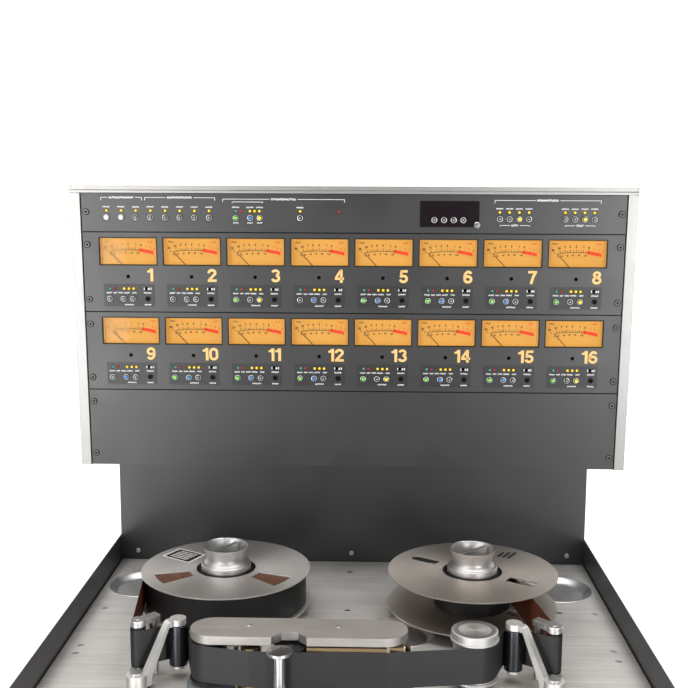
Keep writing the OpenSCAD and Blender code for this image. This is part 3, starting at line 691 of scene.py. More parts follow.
PLATE_HALF, PLATE_DX, PLATE_BELOW, PLATE_FACE, PLATE_TOP = (42.05, 18.55), -0.5, 73.55, 0.4, 0.8
PIVOT_BELOW = 35.2  # a needle's pivot below its window's middle
windows = {}
for channel in range(1, 17):
    p = TO_BRIDGE @ pivot(f"needle_{channel:02d}_swing")
    windows[channel] = Vector((p.x, p.y + PIVOT_BELOW, 0))
window_size = islands("meter_windows", TO_BRIDGE)[0][1]
face_w, face_h = window_size.x, window_size.y
master_low, master_high = bridge_y("master_panel", 0), bridge_y("master_panel", 1)
row_high = bridge_y("blank_panel", 1)


def paint_plates(o):
    """The raised channel plates are a shade darker than their panel."""
    o.data.materials.append(PLATE)
    for face in o.data.polygons:
        p = TO_BRIDGE @ face.center
        for w in windows.values():
            inside = abs(p.x - w.x - PLATE_DX) < PLATE_HALF[0] and abs(p.y - w.y + PLATE_BELOW) < PLATE_HALF[1]
            if inside and p.z >= PLATE_FACE:
                face.material_index = 1


paint_plates(bpy.data.objects["look_meter_panels"])


def grouped(node, below):
    """A node's solids: those in the row that far below a window, by channel, and the rest."""
    found, rest = {c: [] for c in windows}, []
    for middle, size in islands(node, TO_BRIDGE):
        near = [c for c, w in windows.items()
                if abs(middle.x - w.x) < 48 and abs(w.y - middle.y - below) < 6]
        if near:
            found[near[0]].append(middle)
        else:
            rest.append((middle, size))
    for places in found.values():
        places.sort(key=lambda p: p.x)
    rest.sort(key=lambda item: (round(item[0].y), item[0].x))
    return found, rest


BUTTON_BELOW, LAMP_BELOW = 79, 62
channel_buttons, other_buttons = grouped("push_buttons", BUTTON_BELOW)
channel_lamps, other_lamps = grouped("lamp_lenses", LAMP_BELOW)
lit = {3: "g.y", 4: ".b.", 8: "g.y", 9: ".b.", 13: "g.y", 16: "g.y"}
for channel in (5, 6, 7, 10, 11, 12, 14, 15):
    lit[channel] = "gb."

CAP_TOP = 1.5
cap_body = [(0, -1.5), (3.5, -1.5), (3.5, 1.0), (3.2, CAP_TOP), (2.9, CAP_TOP), (2.5, 1.1), (0, 1.0)]
cap_body = turned(cap_body, 32)
cap_lens = turned([(2.45, 0.9), (2.4, 1.35), (1.7, 1.65), (0, 1.75)], 24)
unlit_lens = turned([(1.6, 0.9), (1.5, 1.25), (1.0, 1.4), (0, 1.45)], 24)
ring_shape = turned([(4.7, 0), (4.7, 2.3), (4.5, 2.7), (4.0, 2.8), (3.75, 2.5), (3.72, 0.6)], 36)
# A black ring round each button's base: painted shade around the ring.
ring_shade_seat = turned([(5.4, 0), (5.4, 0.8), (5.0, 1.1), (4.72, 1.1), (4.71, 0.0)], 36)
lens_shape = turned([(1.95, 0), (1.95, 0.5), (1.75, 0.9), (1.1, 1.3), (0, 1.45)], 24)
rim_shape = turned([(2.6, 0), (2.6, 0.35), (2.1, 0.5), (1.96, 0.0)], 24, closed=True)

caps = {"dark": [], "white": []}
lenses = {"clear": [], "g": [], "b": [], "y": []}
rings, shade_seats = [], []
RING_BELOW = 3.5


def add_button(p, colour, white=False):
    caps["white" if white else "dark"].append(moved(cap_body, *p))
    if not white:
        lenses[colour].append(moved(unlit_lens if colour == "clear" else cap_lens, *p))


for channel, places in channel_buttons.items():
    for key, p in zip(lit.get(channel, "..."), places):
        add_button(p, "clear" if key == "." else key)
strip_y = max(p.y for p, _ in other_buttons)
strip = [p for p, _ in other_buttons if abs(p.y - strip_y) < 1]
display_buttons = [p for p, _ in other_buttons if abs(p.y - strip_y) >= 1]
MODE_COUNT, CODE_COUNT = 8, 4
code_lit = {MODE_COUNT: "g", MODE_COUNT + 1: "b", MODE_COUNT + 2: "y",
            MODE_COUNT + CODE_COUNT + 2: "y", MODE_COUNT + CODE_COUNT + 6: "y"}
for i, p in enumerate(strip):
    add_button(p, code_lit.get(i, "clear"), white=i < 2)
for p in display_buttons:
    add_button(p, "clear")
piece("button_caps_dark", joined(caps["dark"]), BRIDGE, CAP, "buttons", "button_cap")
piece("button_caps_white", joined(caps["white"]), BRIDGE, CAP_WHITE, "buttons", "button_cap")
for key, colour, material in (
    ("clear", "unlit", CLEAR), ("g", "green", GREEN), ("b", "blue", BLUE), ("y", "yellow", YELLOW),
):
    o = piece("button_lenses_" + colour, joined(lenses[key]), BRIDGE, material, "buttons", "button_cap")
    if key == "clear":
        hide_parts("push_buttons")
for places in [*channel_buttons.values(), strip, display_buttons]:
    for p in places:
        rings.append(moved(ring_shape, p.x, p.y, p.z - RING_BELOW))
        shade_seats.append(moved(ring_shade_seat, p.x, p.y, p.z - RING_BELOW))
fixed("button_rings", rings, BRIDGE, RING, "hardware_metal")
fixed("button_seats_painted_shade", shade_seats, BRIDGE, METER_BLACK, "meter_black")

lamps = {"teal": [], "red": [], "dim": [], "amber": []}
rims = []
LAMP_SUNK = 0.4


def add_lamp(kind, p):
    lamps[kind].append(moved(lens_shape, p.x, p.y, p.z - LAMP_SUNK))
    rims.append(moved(rim_shape, p.x, p.y, p.z - LAMP_SUNK))


for channel, places in channel_lamps.items():
    for kind, p in zip(("teal", "dim", "amber", "amber", "amber"), places):
        add_lamp(kind, p)
display_middle, display_size = max(other_lamps, key=lambda item: item[1].x)
small = [p for p, size in other_lamps if size.x < 10]
in_display = [p for p in small if abs(p.x - display_middle.x) < display_size.x / 2]
strip_lamps = sorted((p for p in small if p not in in_display), key=lambda p: p.x)
for i, p in enumerate(strip_lamps):
    add_lamp({MODE_COUNT: "teal", MODE_COUNT + 1: "red", MODE_COUNT + 6: "red"}.get(i, "amber"), p)
for i, p in enumerate(sorted(in_display, key=lambda p: p.x)):
    add_lamp("amber" if i < 2 else "red", p)
for kind, material in (("teal", TEAL), ("red", RED), ("dim", RED_DIM), ("amber", AMBER)):
    o = fixed("lamps_" + kind, lamps[kind], BRIDGE, material, "lamp_lens")
    if kind == "amber":
        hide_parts("lamp_lenses")
fixed("lamp_rims", rims, BRIDGE, BLACK_PLASTIC, "meter_black")

dx, dy = display_size.x / 2, display_size.y / 2
pane = prism(rounded(-dx, -dy, dx, dy, 2.0), 0, 1.7)
pane = moved(pane, display_middle.x, display_middle.y)
piece("display_window", pane, BRIDGE, DISPLAY, "cabinet", "meter_glass", 0.5)
THUMB_FROM_RIGHT, THUMB_FROM_LOW = -3.5, 3.4
thumb = turned([(5.2, 0), (5.2, 2.4), (4.6, 3.0), (1.2, 3.2), (1.0, 2.6), (0, 2.6)], 40)
thumb = moved(thumb, display_middle.x + dx + THUMB_FROM_RIGHT, display_middle.y - dy + THUMB_FROM_LOW, 1.6)
piece("display_thumb_screw", thumb, BRIDGE, CHROME, "cabinet", "hardware_metal")

jacks, trimmers, frames, slot_surrounds_and_shade = [], [], [], []
jack = turned([(4.3, 0), (4.3, 1.0), (3.9, 1.4), (3.0, 1.4), (2.5, 1.0), (2.4, -2.0), (0, -2.0)], 32)
# The trimmer hole is a shallow near-black cup: painted shade for a deep hole.
hole = turned([(3.1, 0.02), (3.0, 0.15), (2.7, 0.1), (2.6, -0.1), (2.6, -2.6), (0, -2.6)], 28)
SOCKET_DX, HOLE_DX, HOLE_BELOW = 30.7, -1.2, 41.75
frame_ends = joined([block(-6.3, -2.0, 0, -4.8, 2.0, 0.5), block(4.8, -2.0, 0, 6.3, 2.0, 0.5)])
# Black bars beside each switch slot, and a near-black plate inside it: painted shade in the slot.
slot_surround_and_shade = joined([block(-4.8, 2.15, 0, 4.8, 2.9, 0.5), block(-4.8, -2.9, 0, 4.8, -2.15, 0.5),
                   block(-4.6, -2.0, -2.9, 4.6, 2.0, -2.6)])
for w in windows.values():
    jacks.append(moved(jack, w.x + SOCKET_DX, w.y - BUTTON_BELOW + 0.05, PLATE_TOP))
    trimmers.append(moved(hole, w.x + HOLE_DX, w.y - HOLE_BELOW, 0))
    for group, shape in ((frames, frame_ends), (slot_surrounds_and_shade, slot_surround_and_shade)):
        group.append(moved(shape, w.x + SOCKET_DX, w.y - LAMP_BELOW - 0.05, PLATE_TOP))
fixed("meter_jacks", jacks, BRIDGE, METER_BLACK, "meter_black")
fixed("trimmer_holes", trimmers, BRIDGE, SHADE_BLACK_AND_PRINT, "meter_black")
fixed("switch_frames", frames, BRIDGE, PRINT_WHITE, "hardware_metal", bevel=0.15)
fixed("switch_surrounds_and_painted_shade", slot_surrounds_and_shade, BRIDGE, SHADE_BLACK_AND_PRINT, "meter_black", bevel=0.15)
switches = islands("slide_switches", TO_BRIDGE)
knobs = [moved(block(*(-size / 2), *(size / 2)), *middle) for middle, size in switches]
o = piece("switch_knobs", joined(knobs), BRIDGE, CAP_WHITE, "switches", "button_cap", 0.3)
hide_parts("slide_switches")


def socket_screw(r, h):
    """A round head with a hexagonal recess, on a thin washer."""
    outer = turned([(r * 0.45, h), (r - 0.5, h), (r, h - 0.5), (r, 0.0), (0, 0)], 36)
    recess = turned([(r * 0.47, h), (r * 0.42, h * 0.45), (0, h * 0.45)], 6)
    return joined([outer, recess])


washer = turned([(5.6, 0), (5.6, 0.5), (5.2, 0.7), (4.6, 0.7), (4.5, 0)], 36)
# A near-black hexagon in each bridge screw's recess: painted shade.
socket = turned([(2.0, 0.8), (2.0, 1.1), (0, 1.1)], 6)
bridge_screws, washers, sockets, deck_screws, back_screws, cap_screws = [], [], [], [], [], []
BRIDGE_END, UNDER_BRIDGE, NEAR_BACK = 430, 120, -20
for middle, size in islands("panel_hardware", TO_BRIDGE):
    if abs(middle.x) > BRIDGE_END and -5 > middle.z - size.z / 2 > -12 and middle.y > 0 and size.x < 12:
        for group, shape in ((bridge_screws, socket_screw(4.4, 1.7)), (washers, washer), (sockets, socket)):
            group.append(moved(shape, middle.x, middle.y, 0))
for middle, size in islands("panel_hardware", TO_DECK):
    top = middle.z + size.z / 2
    if middle.z < UNDER_BRIDGE and size.z > 6 and middle.y < NEAR_BACK:
        head = 2.0 if top < 20 else 1.0
        deck_screws.append(moved(socket_screw(size.x / 2, head), middle.x, middle.y, top - head))
    elif middle.z < UNDER_BRIDGE and size.z < 2:
        cap_screws.append(moved(socket_screw(size.x / 2, 0.6), middle.x, middle.y, top - 0.6))
    elif middle.z < 60 and middle.y > NEAR_BACK:
        v, f = socket_screw(size.x / 2, 1.8)
        back_screws.append(([(x + middle.x, -z, y + middle.z) for x, y, z in v], f))
o = fixed("bridge_screws", bridge_screws, BRIDGE, SCREW_GREY, "hardware_metal", sharp=30)
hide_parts("panel_hardware")
fixed("bridge_screw_sockets", sockets, BRIDGE, SHADE_BLACK_AND_PRINT, "meter_black")
fixed("bridge_washers", washers, BRIDGE, SCREW_DARK, "hardware_metal", sharp=30)
fixed("deck_screws", deck_screws, DECK, SCREW, "hardware_metal", sharp=30)
fixed("back_panel_screws", back_screws, DECK, SCREW, "hardware_metal", sharp=30)
fixed("guide_cap_screws", cap_screws, DECK, SCREW, "hardware_metal", sharp=30)

# ---------- bridge: print ----------

random.seed(7)
INK, STROKE_H = 0.06, 0.12


def caption(width, height, count):
    """Tiny bars that stand for a printed word: no letters."""
    out, x, step = [], -width / 2, width / count
    for _ in range(count):
        w = step * random.uniform(0.78, 0.9)
        low = random.choice((0.0, 0.28, 0.5)) * height
        out.append(block(x, -height / 2, 0, x + w * 0.42, height / 2, INK))
        out.append(block(x + w * 0.52, low - height / 2, 0, x + w, low, INK))
        x += step
    return joined(out)


def band(points, width, closed=False):
    """A flat stroke along a line of points."""
    n, verts, faces = len(points), [], []
    for i, (x, y) in enumerate(points):
        a = points[i - 1] if closed or i > 0 else points[i]
        b = points[(i + 1) % n] if closed or i < n - 1 else points[i]
        length = math.hypot(b[0] - a[0], b[1] - a[1])
        nx, ny = -(b[1] - a[1]) / length * width / 2, (b[0] - a[0]) / length * width / 2
        for z_left, z_right, s in ((0, STROKE_H, 1), (STROKE_H, 0, -1)):
            verts += [(x + s * nx, y + s * ny, z_left), (x + s * nx, y + s * ny, z_right)]
    for i in range(n if closed else n - 1):
        a, b = 4 * i, 4 * ((i + 1) % n)
        faces += [[a + 1, a + 2, b + 2, b + 1], [b, a, a + 1, b + 1], [a + 3, b + 3, b + 2, a + 2]]
    if not closed:
        last = 4 * (n - 1)
        faces += [[3, 2, 1, 0], [last, last + 1, last + 2, last + 3]]
    return verts, faces


def arc(cx, cy, rx, ry, a0, a1, steps=18):
    out = []
    for i in range(steps + 1):
        a = math.radians(a0 + (a1 - a0) * i / steps)
        out.append((cx + rx * math.cos(a), cy + ry * math.sin(a)))
    return out


NUMERAL_H, STROKE, DIGIT_W = 21.5, 4.3, 15.2


def digit(d):
    """A bold numeral drawn with strokes, with its left edge at x = 0, and its width."""
    if d == "0":
        return band(arc(7.6, 14.5, 5.4, 4.9, 0, 180) + arc(7.6, 7.0, 5.4, 4.9, 180, 360), STROKE, True), DIGIT_W
    if d == "1":
        flag = [(0.2, 15.0), (5.5, 15.0), (5.5, 21.5), (5.0, 21.5), (4.2, 19.8), (2.6, 18.5), (0.2, 18.2)]
        return joined([band([(7.6, 0), (7.6, NUMERAL_H)], 4.6), prism(flag, 0, STROKE_H)]), 9.9
    if d == "2":
        hook = arc(7.5, 15.0, 5.3, 4.4, 188, -28) + [(2.9, 3.2)]
        return joined([band(hook, STROKE), band([(0.3, 2.0), (15.0, 2.0)], 4.0)]), DIGIT_W
    if d == "3":
        upper, lower = arc(7.3, 15.7, 4.9, 3.8, 170, -85), arc(7.3, 6.6, 5.5, 4.5, 88, -168)
        return joined([band(upper, 4.0), band(lower, 4.2)]), DIGIT_W
    if d == "4":
        return joined([band([(10.8, 0), (10.8, NUMERAL_H)], STROKE), band([(0.3, 6.6), (15.2, 6.6)], 3.9),
                       band([(1.9, 7.6), (9.8, 20.2)], 3.8)]), DIGIT_W + 0.4
    if d == "5":
        top, bowl = band([(2.4, 19.5), (14.2, 19.5)], 4.0), band(arc(7.3, 7.0, 5.4, 4.9, 138, -168), STROKE)
        return joined([top, band([(4.1, 20.5), (3.0, 9.2)], 3.8), bowl]), DIGIT_W
    if d in "69":
        back = arc(8.4, 10.4, 6.1, 8.9, 42, 180) + [(2.3, 7.0)]
        six = joined([band(back, STROKE), band(arc(7.7, 6.9, 5.4, 4.8, 0, 340), STROKE, True)])
        return (six if d == "6" else moved(six, DIGIT_W, NUMERAL_H, 0.0, math.pi)), DIGIT_W
    if d == "7":
        top, leg = band([(0.6, 19.5), (14.9, 19.5)], 4.0), band([(12.7, 18.7), (9.0, 11.5), (5.8, 0)], STROKE)
        return joined([top, leg]), DIGIT_W
    upper = band(arc(7.6, 15.9, 4.7, 3.7, 0, 345), 4.0, True)
    return joined([upper, band(arc(7.6, 6.5, 5.5, 4.5, 0, 345), 4.2, True)]), DIGIT_W


def numeral(value):
    """A channel number, set to the right of x = 0 backwards."""
    parts, x = [], 0.0
    for d in reversed(str(value)):
        shape, width = digit(d)
        x -= width
        parts.append(moved(shape, x))
        x -= 1.3
    return joined(parts)


white, numerals = [], []
WORDS_BELOW, WORDS_LOW_BELOW = 69.1, 89.1
words = [(dx, WORDS_BELOW, width, count) for dx, width, count in
         ((-33.5, 9, 5), (-23.5, 6, 3), (-14.5, 7.5, 5), (-4.2, 9.5, 6), (8.8, 7, 4), (SOCKET_DX, 12, 6))]
words += [(-0.5, WORDS_LOW_BELOW, 15, 7), (SOCKET_DX, WORDS_LOW_BELOW, 11, 5)]
for channel, w in windows.items():
    for dx, below, width, count in words:
        white.append(moved(caption(width, 2.3, count), w.x + dx, w.y - below, PLATE_TOP))
    numerals.append(moved(numeral(channel), w.x + 40.5, w.y - 49.9, 0.0))
for i, p in enumerate(strip):
    above = 16.5 if i >= MODE_COUNT + CODE_COUNT else 16.8
    white.append(moved(caption(11.5, 2.2, 6), p.x, p.y + above, 0))
for p in strip[MODE_COUNT:MODE_COUNT + 3]:
    white.append(moved(caption(9, 2.2, 4), p.x, p.y - 8.6, 0))


def bracket_line(x0, x1, y, drop, gap=0.0, t=0.8):
    """A printed line over a group, with its ends turned down and room for a caption in the middle."""
    parts = [block(x0, y - drop, 0, x0 + t, y, INK), block(x1 - t, y - drop, 0, x1, y, INK)]
    if not gap:
        return joined(parts + [block(x0, y - t, 0, x1, y, INK)])
    middle = (x0 + x1) / 2
    parts.append(block(x0, y - t, 0, middle - gap / 2, y, INK))
    parts.append(block(middle + gap / 2, y - t, 0, x1, y, INK))
    parts.append(moved(caption(gap - 5, 3.4, int(gap / 3.2)), middle, y - 0.3))
    return joined(parts)


top_line = master_low + 56
display_line = master_low + 13.5
for x0, x1, y, drop, gap in (
    (-413, -345, top_line, 5, 46),
    (-340.7, -224.9, top_line, 5, 46),
    (-212.5, -12.4, top_line - 2, 5, 46),
    (231.4, 403.8, top_line - 2, 5, 40),
    (241, 289.5, display_line, 2.2, 16),
    (346.5, 395.3, display_line, 2.2, 16),
    (-197, -146, top_line - 6.5, 2.2, 0),
):
    white.append(bracket_line(x0, x1, y, drop, gap))
SEAM_HALF, PANEL_HALF = PANEL_SEAM / MM, 446
# Near-black strips behind the gaps between the panels and along the panels' side edges: painted shade in the
# seams.
seam_shade_strips = []
for y in (row_high + SEAM_HALF, (row_high + master_low) / 2, master_low - SEAM_HALF):
    seam_shade_strips.append(block(-PANEL_HALF, y - SEAM_HALF * 0.95, -2.9, PANEL_HALF, y + SEAM_HALF * 0.95, -1.3))
seam_shade_strips.append(block(-PANEL_HALF, master_high - 0.6, -2.9, PANEL_HALF, master_high + SEAM_HALF - 0.05, -0.1))
for x in (-PANEL_HALF - 0.8, PANEL_HALF - 0.7):
    seam_shade_strips.append(block(x, 0.5, 0.01, x + 1.5, master_high - 0.3, 0.12))
fixed("panel_seams_painted_shade", seam_shade_strips, BRIDGE, SHADE_BLACK_AND_PRINT, "meter_black")
fixed("panel_captions", white, BRIDGE, PRINT_WHITE, "panel_paint")
fixed("channel_numerals", numerals, BRIDGE, PRINT_CREAM, "panel_paint")

# ---------- meters ----------

CAVITY = -8.9
painted_glow_walls, marks, red_marks = [], [], []


def arc_point(x):
    """The scale's flat arc: height above the window's middle."""
    radius, top = 185.0, 1.5
    return top - (radius - math.sqrt(radius * radius - (x + 1) ** 2))


def between(a, b, t):
    return a + (b - a) * t


def arc_strip(x0, x1, below, above, steps):
    low, high = [], []
    for i in range(steps + 1):
        x = between(x0, x1, i / steps)
        low.append((x, arc_point(x) + between(*below, i / steps)))
        high.append((x, arc_point(x) + between(*above, i / steps)))
    return prism(low + high[::-1], 0, 0.1)


def tick(x, length, t=0.75):
    """A scale mark that leans away from the middle, by 38 degrees at an end."""
    lean = math.radians(38) * -x / 48
    return moved(block(-t / 2, 0, 0, t / 2, length, 0.1), x, arc_point(x), 0, lean)


main_scale = ((-35.5, "20", (-39.5, 5.2)), (-26.5, "10", (-29.0, 8.2)), (-18.3, "7", (-19.6, 10.0)),
              (-10.1, "5", (-11.4, 10.8)), (-1.1, "3", (-1.4, 11.2)), (10.1, "1", (11.0, 10.6)),
              (18.7, "0", (19.4, 9.4)))
hot_scale = (("1", (28.4, 7.6)), ("2", (35.4, 5.6)), ("3", (41.6, 3.4)))
minor = (-22.4, -14.6, -12.4, -6.0, 3.7, 6.9, 13.8)
percent = ((-31.4, "0", -6.0), (-24.8, "20", -5.0), (-15.2, "40", -4.0), (-6.2, "60", -3.2),
           (3.7, "80", -3.2), (14.6, "100", -3.8))


def centred(text, height, weight, x, y):
    shape = lettering(text, height, weight, 0.1)
    xs, ys = [v[0] for v in shape[0]], [v[1] for v in shape[0]]
    return moved(shape, x - (min(xs) + max(xs)) / 2, y - (min(ys) + max(ys)) / 2, 0.05)


one_scale = [arc_strip(-32, 18.5, (-0.4, -0.4), (0.4, 0.4), 20)]
one_scale += [tick(x, 4.8) for x, _, _ in main_scale] + [tick(x, 3.0) for x in minor]
one_scale += [centred(text, 3.5, 0.22, *at) for _, text, at in main_scale]
one_scale += [centred(text, 2.5, 0.14, x, y) for x, text, y in percent]
one_scale += [moved(caption(8, 2.4, 3), -36, 15.4)]
one_hot = [arc_strip(16.5, 40.5, (-1.8, -2.8), (3.4, 2.8), 12)]
one_hot += [centred(text, 3.3, 0.2, *at) for text, at in hot_scale] + [moved(caption(8, 2.4, 3), 36, 15.0)]
one_scale, one_hot = joined(one_scale), joined(one_hot)
wall_x, wall_top, wall_low = face_w / 2 - 1.85, face_h / 2 - 1.25, -face_h / 2 - 6
ledge_x, ledge_top = face_w / 2 - 0.05, face_h / 2 - 0.05
LEDGE_LOW, LEDGE_HIGH, LINING = -3.58, -3.44, 0.15
# Walls and ledges round each face, painted with the amber glow of the face's light.
wall_glow_shape = joined([block(-wall_x, wall_low, CAVITY, -wall_x + LINING, wall_top, LEDGE_LOW),
                  block(wall_x - LINING, wall_low, CAVITY, wall_x, wall_top, LEDGE_LOW),
                  block(-wall_x, wall_top - LINING, CAVITY, wall_x, wall_top, LEDGE_LOW),
                  block(-ledge_x, -ledge_top, LEDGE_LOW, -wall_x + LINING, ledge_top, LEDGE_HIGH),
                  block(wall_x - LINING, -ledge_top, LEDGE_LOW, ledge_x, ledge_top, LEDGE_HIGH),
                  block(-wall_x + LINING, wall_top - LINING, LEDGE_LOW,
                        wall_x - LINING, ledge_top, LEDGE_HIGH)])
one_face = block(-wall_x + LINING, wall_low, 0, wall_x - LINING, wall_top - LINING, 0.1)
for channel, w in windows.items():
    plate = moved(one_face, w.x, w.y, CAVITY)
    piece(f"meter_face_{channel:02d}", plate, BRIDGE, FACE, "cabinet", "meter_glass")
    painted_glow_walls.append(moved(wall_glow_shape, w.x, w.y))
    marks.append(moved(one_scale, w.x, w.y, CAVITY + 0.1))
    red_marks.append(moved(one_hot, w.x, w.y, CAVITY + 0.1))
fixed("meter_walls_painted_glow", painted_glow_walls, BRIDGE, FACE_GLOW_PAINT, "meter_glass")
fixed("meter_scales", marks, BRIDGE, PRINT_BLACK, "meter_black")
fixed("meter_hot_bands", red_marks, BRIDGE, PRINT_RED, "lamp_lens")

# ---------- deck details ----------

dishes = []
for x, y, r in ((-352, -122, 60), (350, -121, 60), (-78, -307, 57), (78, -307, 57)):
    profile = [(r + 0.3, 0.05), (r - 0.4, 0.55), (r - 1.4, 0.45)]
    for i in range(9):
        t = i / 8
        profile.append((r - 2.0 - 13 * t ** 0.8, 0.1 - 9.6 * math.sin(t * math.pi / 2)))
    profile += [(r * 0.4, -9.9), (0, -10.0)]
    dishes.append(turned(profile, 72, centre=(x, y, 0)))
fixed("well_dishes", dishes, DECK, WELL, "brushed_plate")

guide_cap = [(9.0, 76.6), (10.8, 76.8), (10.8, 78.9), (10.35, 79.2), (10.35, 79.6), (10.8, 79.9), (10.8, 81.6),
             (10.35, 81.9), (10.35, 82.3), (10.8, 82.6), (10.8, 84.3), (9.6, 85.45), (0, 85.45)]
guide_caps = [turned(guide_cap, centre=(*xy(side + "_guide_spin"), 0)) for side in ("left", "right")]
fixed("guide_caps", guide_caps, DECK, SILVER, "polished_steel", sharp=28)

TIMER_R, TIMER_TOP, DIAL_RISE = 31.3, 85.9, 0.15
dial = [(TIMER_R - 0.9, -0.02), (TIMER_R - 1.4, DIAL_RISE), (15.6, DIAL_RISE), (15, -0.05), (6.2, -0.05),
        (5.5, 0.2), (0, 0.2)]
dial = turned(dial, 96, centre=(*xy("timer_spin"), TIMER_TOP))
piece("timer_dial", dial, DECK, TIMER, "timer", "turned_aluminium", sharp=20)
TICKS, TICK_IN, TICK_OUT, TICK_HALF = 48, 0.71, 0.93, 0.62
bar = block(TIMER_R * TICK_IN, -TICK_HALF, 0, TIMER_R * TICK_OUT, TICK_HALF, 0.2)
ticks = [moved(bar, *xy("timer_spin"), TIMER_TOP + DIAL_RISE, 2 * math.pi * i / TICKS) for i in range(TICKS)]
piece("timer_marks", joined(ticks), DECK, SHADE_BLACK_AND_PRINT, "timer", "meter_black")

# ---------- reels: hub ring, generic labels ----------

for side in ("supply", "takeup"):
    ring = [(46.6, 73.3), (46.6, 74.6), (39.7, 74.6), (39.7, 73.3)]
    ring = turned(ring, 72, True, (*xy(side + "_spin"), 0))
    piece(side + "_hub_ring", ring, DECK, BLACK_PLASTIC, side + "_spindle", "meter_black")

FLANGE_TOP, PAPER, FIELD = 75.0, 0.12, 0.18
ON_FLANGE = DECK @ Matrix.Translation((0, 0, FLANGE_TOP))


def middle_of(corners):
    return sum(x for x, _ in corners) / 4, sum(y for _, y in corners) / 4


def inset(corners, k):
    mx, my = middle_of(corners)
    return [(mx + (x - mx) * k, my + (y - my) * k) for x, y in corners]


def set_along(bars, corners, first):
    """Bars at the middle of a label, along the side that starts at its first corner."""
    (x0, y0), (x1, y1) = corners[first:first + 2]
    return moved(joined(bars), *middle_of(corners), FLANGE_TOP, math.atan2(y1 - y0, x1 - x0))


label = [(-306.9, -192.4), (-258.1, -223.5), (-236.9, -184.9), (-284.6, -154.2)]
field = prism(inset(label, 0.88), PAPER, FIELD)
bars = [moved(caption(36, 4.2, 9), 0, (row - 2) * 6.2, FIELD) for row in range(5)]
for name, shape, place, material in (
    ("supply_label_paper", prism(label, 0, PAPER), ON_FLANGE, LABEL_PALE),
    ("supply_label_field", field, ON_FLANGE, LABEL_DARK),
    ("supply_label_bars", set_along(bars, label, 0), DECK, LABEL_PALE),
):
    piece(name, shape, place, material, "supply_spindle", "meter_black")
label = [(236.2, -188.7), (264.8, -187.6), (285.6, -153.1), (251.6, -126.6)]
bars = [moved(block(-17, -2.6, 0, 17 - row * 5, 2.6, 0.1), 0, (row - 1) * 8.5) for row in range(3)]
piece("takeup_label_bars", set_along(bars, label, 1), DECK, LABEL_DARK, "takeup_spindle", "meter_black")

# ---------- tape ----------

TAPE_LOW, TAPE_HIGH, TAPE_T = 22.2, 72.7, 0.12


def wrap_angles(path):
    """Directions of the straight runs between the circles of a tape path."""
    out = []
    for (c1, r1, s1), (c2, r2, s2) in zip(path, path[1:]):
        d = Vector(c2) - Vector(c1)
        out.append(math.atan2(d.y, d.x) - math.asin((s2 * r2 - s1 * r1) / d.length))
    return out


def leave(circle, heading):
    """The point where a run with that heading touches the circle."""
    (cx, cy), r, s = circle
    return (cx + s * r * math.sin(heading), cy - s * r * math.cos(heading))


def wrap(circle, h0, h1, step=math.radians(7)):
    turn = h1 - h0
    n = max(2, int(abs(turn) / step) + 1)
    return [leave(circle, h0 + turn * i / n) for i in range(n + 1)]


def ribbon(name, points, body):
    """A closed strip along the points: oxide on its left side, back coat on its right."""
    normals = []
    for i in range(len(points)):
        a, b = points[max(i - 1, 0)], points[min(i + 1, len(points) - 1)]
        d = Vector((b[0] - a[0], b[1] - a[1])).normalized()
        normals.append((-d.y, d.x))
    verts, faces, sides = [], [], []
    for (x, y), (nx, ny) in zip(points, normals):
        for k, z in ((1, TAPE_LOW), (1, TAPE_HIGH), (-1, TAPE_HIGH), (-1, TAPE_LOW)):
            verts.append(DECK @ Vector((x + nx * k * TAPE_T / 2, y + ny * k * TAPE_T / 2, z)))
    for i in range(len(points) - 1):
        a, b = 4 * i, 4 * i + 4
        for k in range(4):
            faces.append([a + k, b + k, b + (k + 1) % 4, a + (k + 1) % 4][::-1])
            sides.append(0 if k == 0 else 1)
    faces += [[0, 1, 2, 3], [len(verts) - 1, len(verts) - 2, len(verts) - 3, len(verts) - 4]]
    sides += [1, 1]
    mesh = bpy.data.meshes.new(name)
    mesh.from_pydata(verts, [], faces)
    for material in (TAPE_OXIDE, TAPE_BACK):
        mesh.materials.append(material)
    mesh.polygons.foreach_set("material_index", sides)
    mesh.polygons.foreach_set("use_smooth", [True] * len(faces))
    mesh.set_sharp_from_angle(angle=math.radians(40))
    mesh.update()
    bm = bmesh.new()
    bm.from_mesh(mesh)
    bmesh.ops.recalc_face_normals(bm, faces=bm.faces)
    bm.to_mesh(mesh)
    bm.free()
    o = added(name, mesh)
    if body:
        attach(o, body)
    return o


def radius_of(node):
    low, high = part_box(node)
    return (high.x - low.x) / 2 / MM


# each circle that the tape goes around: its centre, its radius and the way the tape turns (1 anticlockwise)
AIR = 0.25
path = [
    (xy("supply_spin"), radius_of("supply_tape_pack") + AIR, 1),
    (xy("left_guide_spin"), 10.5 + AIR, 1),
    (xy("left_arm_roller_spin"), 13 + AIR, -1),
    (xy("entry_spin"), 24 + AIR, 1),
    ((-124, -531), 10 + AIR, 1),
    (xy("pinch_roller_spin"), 22 + AIR, 1),
    ((-26, -530), 10.6 + AIR, 1),
    ((10, -530), 10.6 + AIR, 1),
    ((55.0, -539.2), 1.2, 1),
    ((77.2, -535.2), 1.2, 1),
    (xy("timer_spin"), 29 + AIR, 1),
    (xy("right_arm_roller_spin"), 13 + AIR, -1),
    (xy("right_guide_spin"), 10.5 + AIR, 1),
    (xy("takeup_spin"), radius_of("takeup_tape_pack") + AIR, 1),
]
headings = wrap_angles(path)


def run(i, parts=10):
    """Points of the straight run after circle i."""
    a, b = leave(path[i], headings[i]), leave(path[i + 1], headings[i])
    return [(a[0] + (b[0] - a[0]) * k / parts, a[1] + (b[1] - a[1]) * k / parts) for k in range(parts + 1)]


stretches = [run(0)]
for i in range(1, len(path) - 1):
    stretches += [wrap(path[i], headings[i - 1], headings[i]), run(i)]
stretches = iter(stretches)
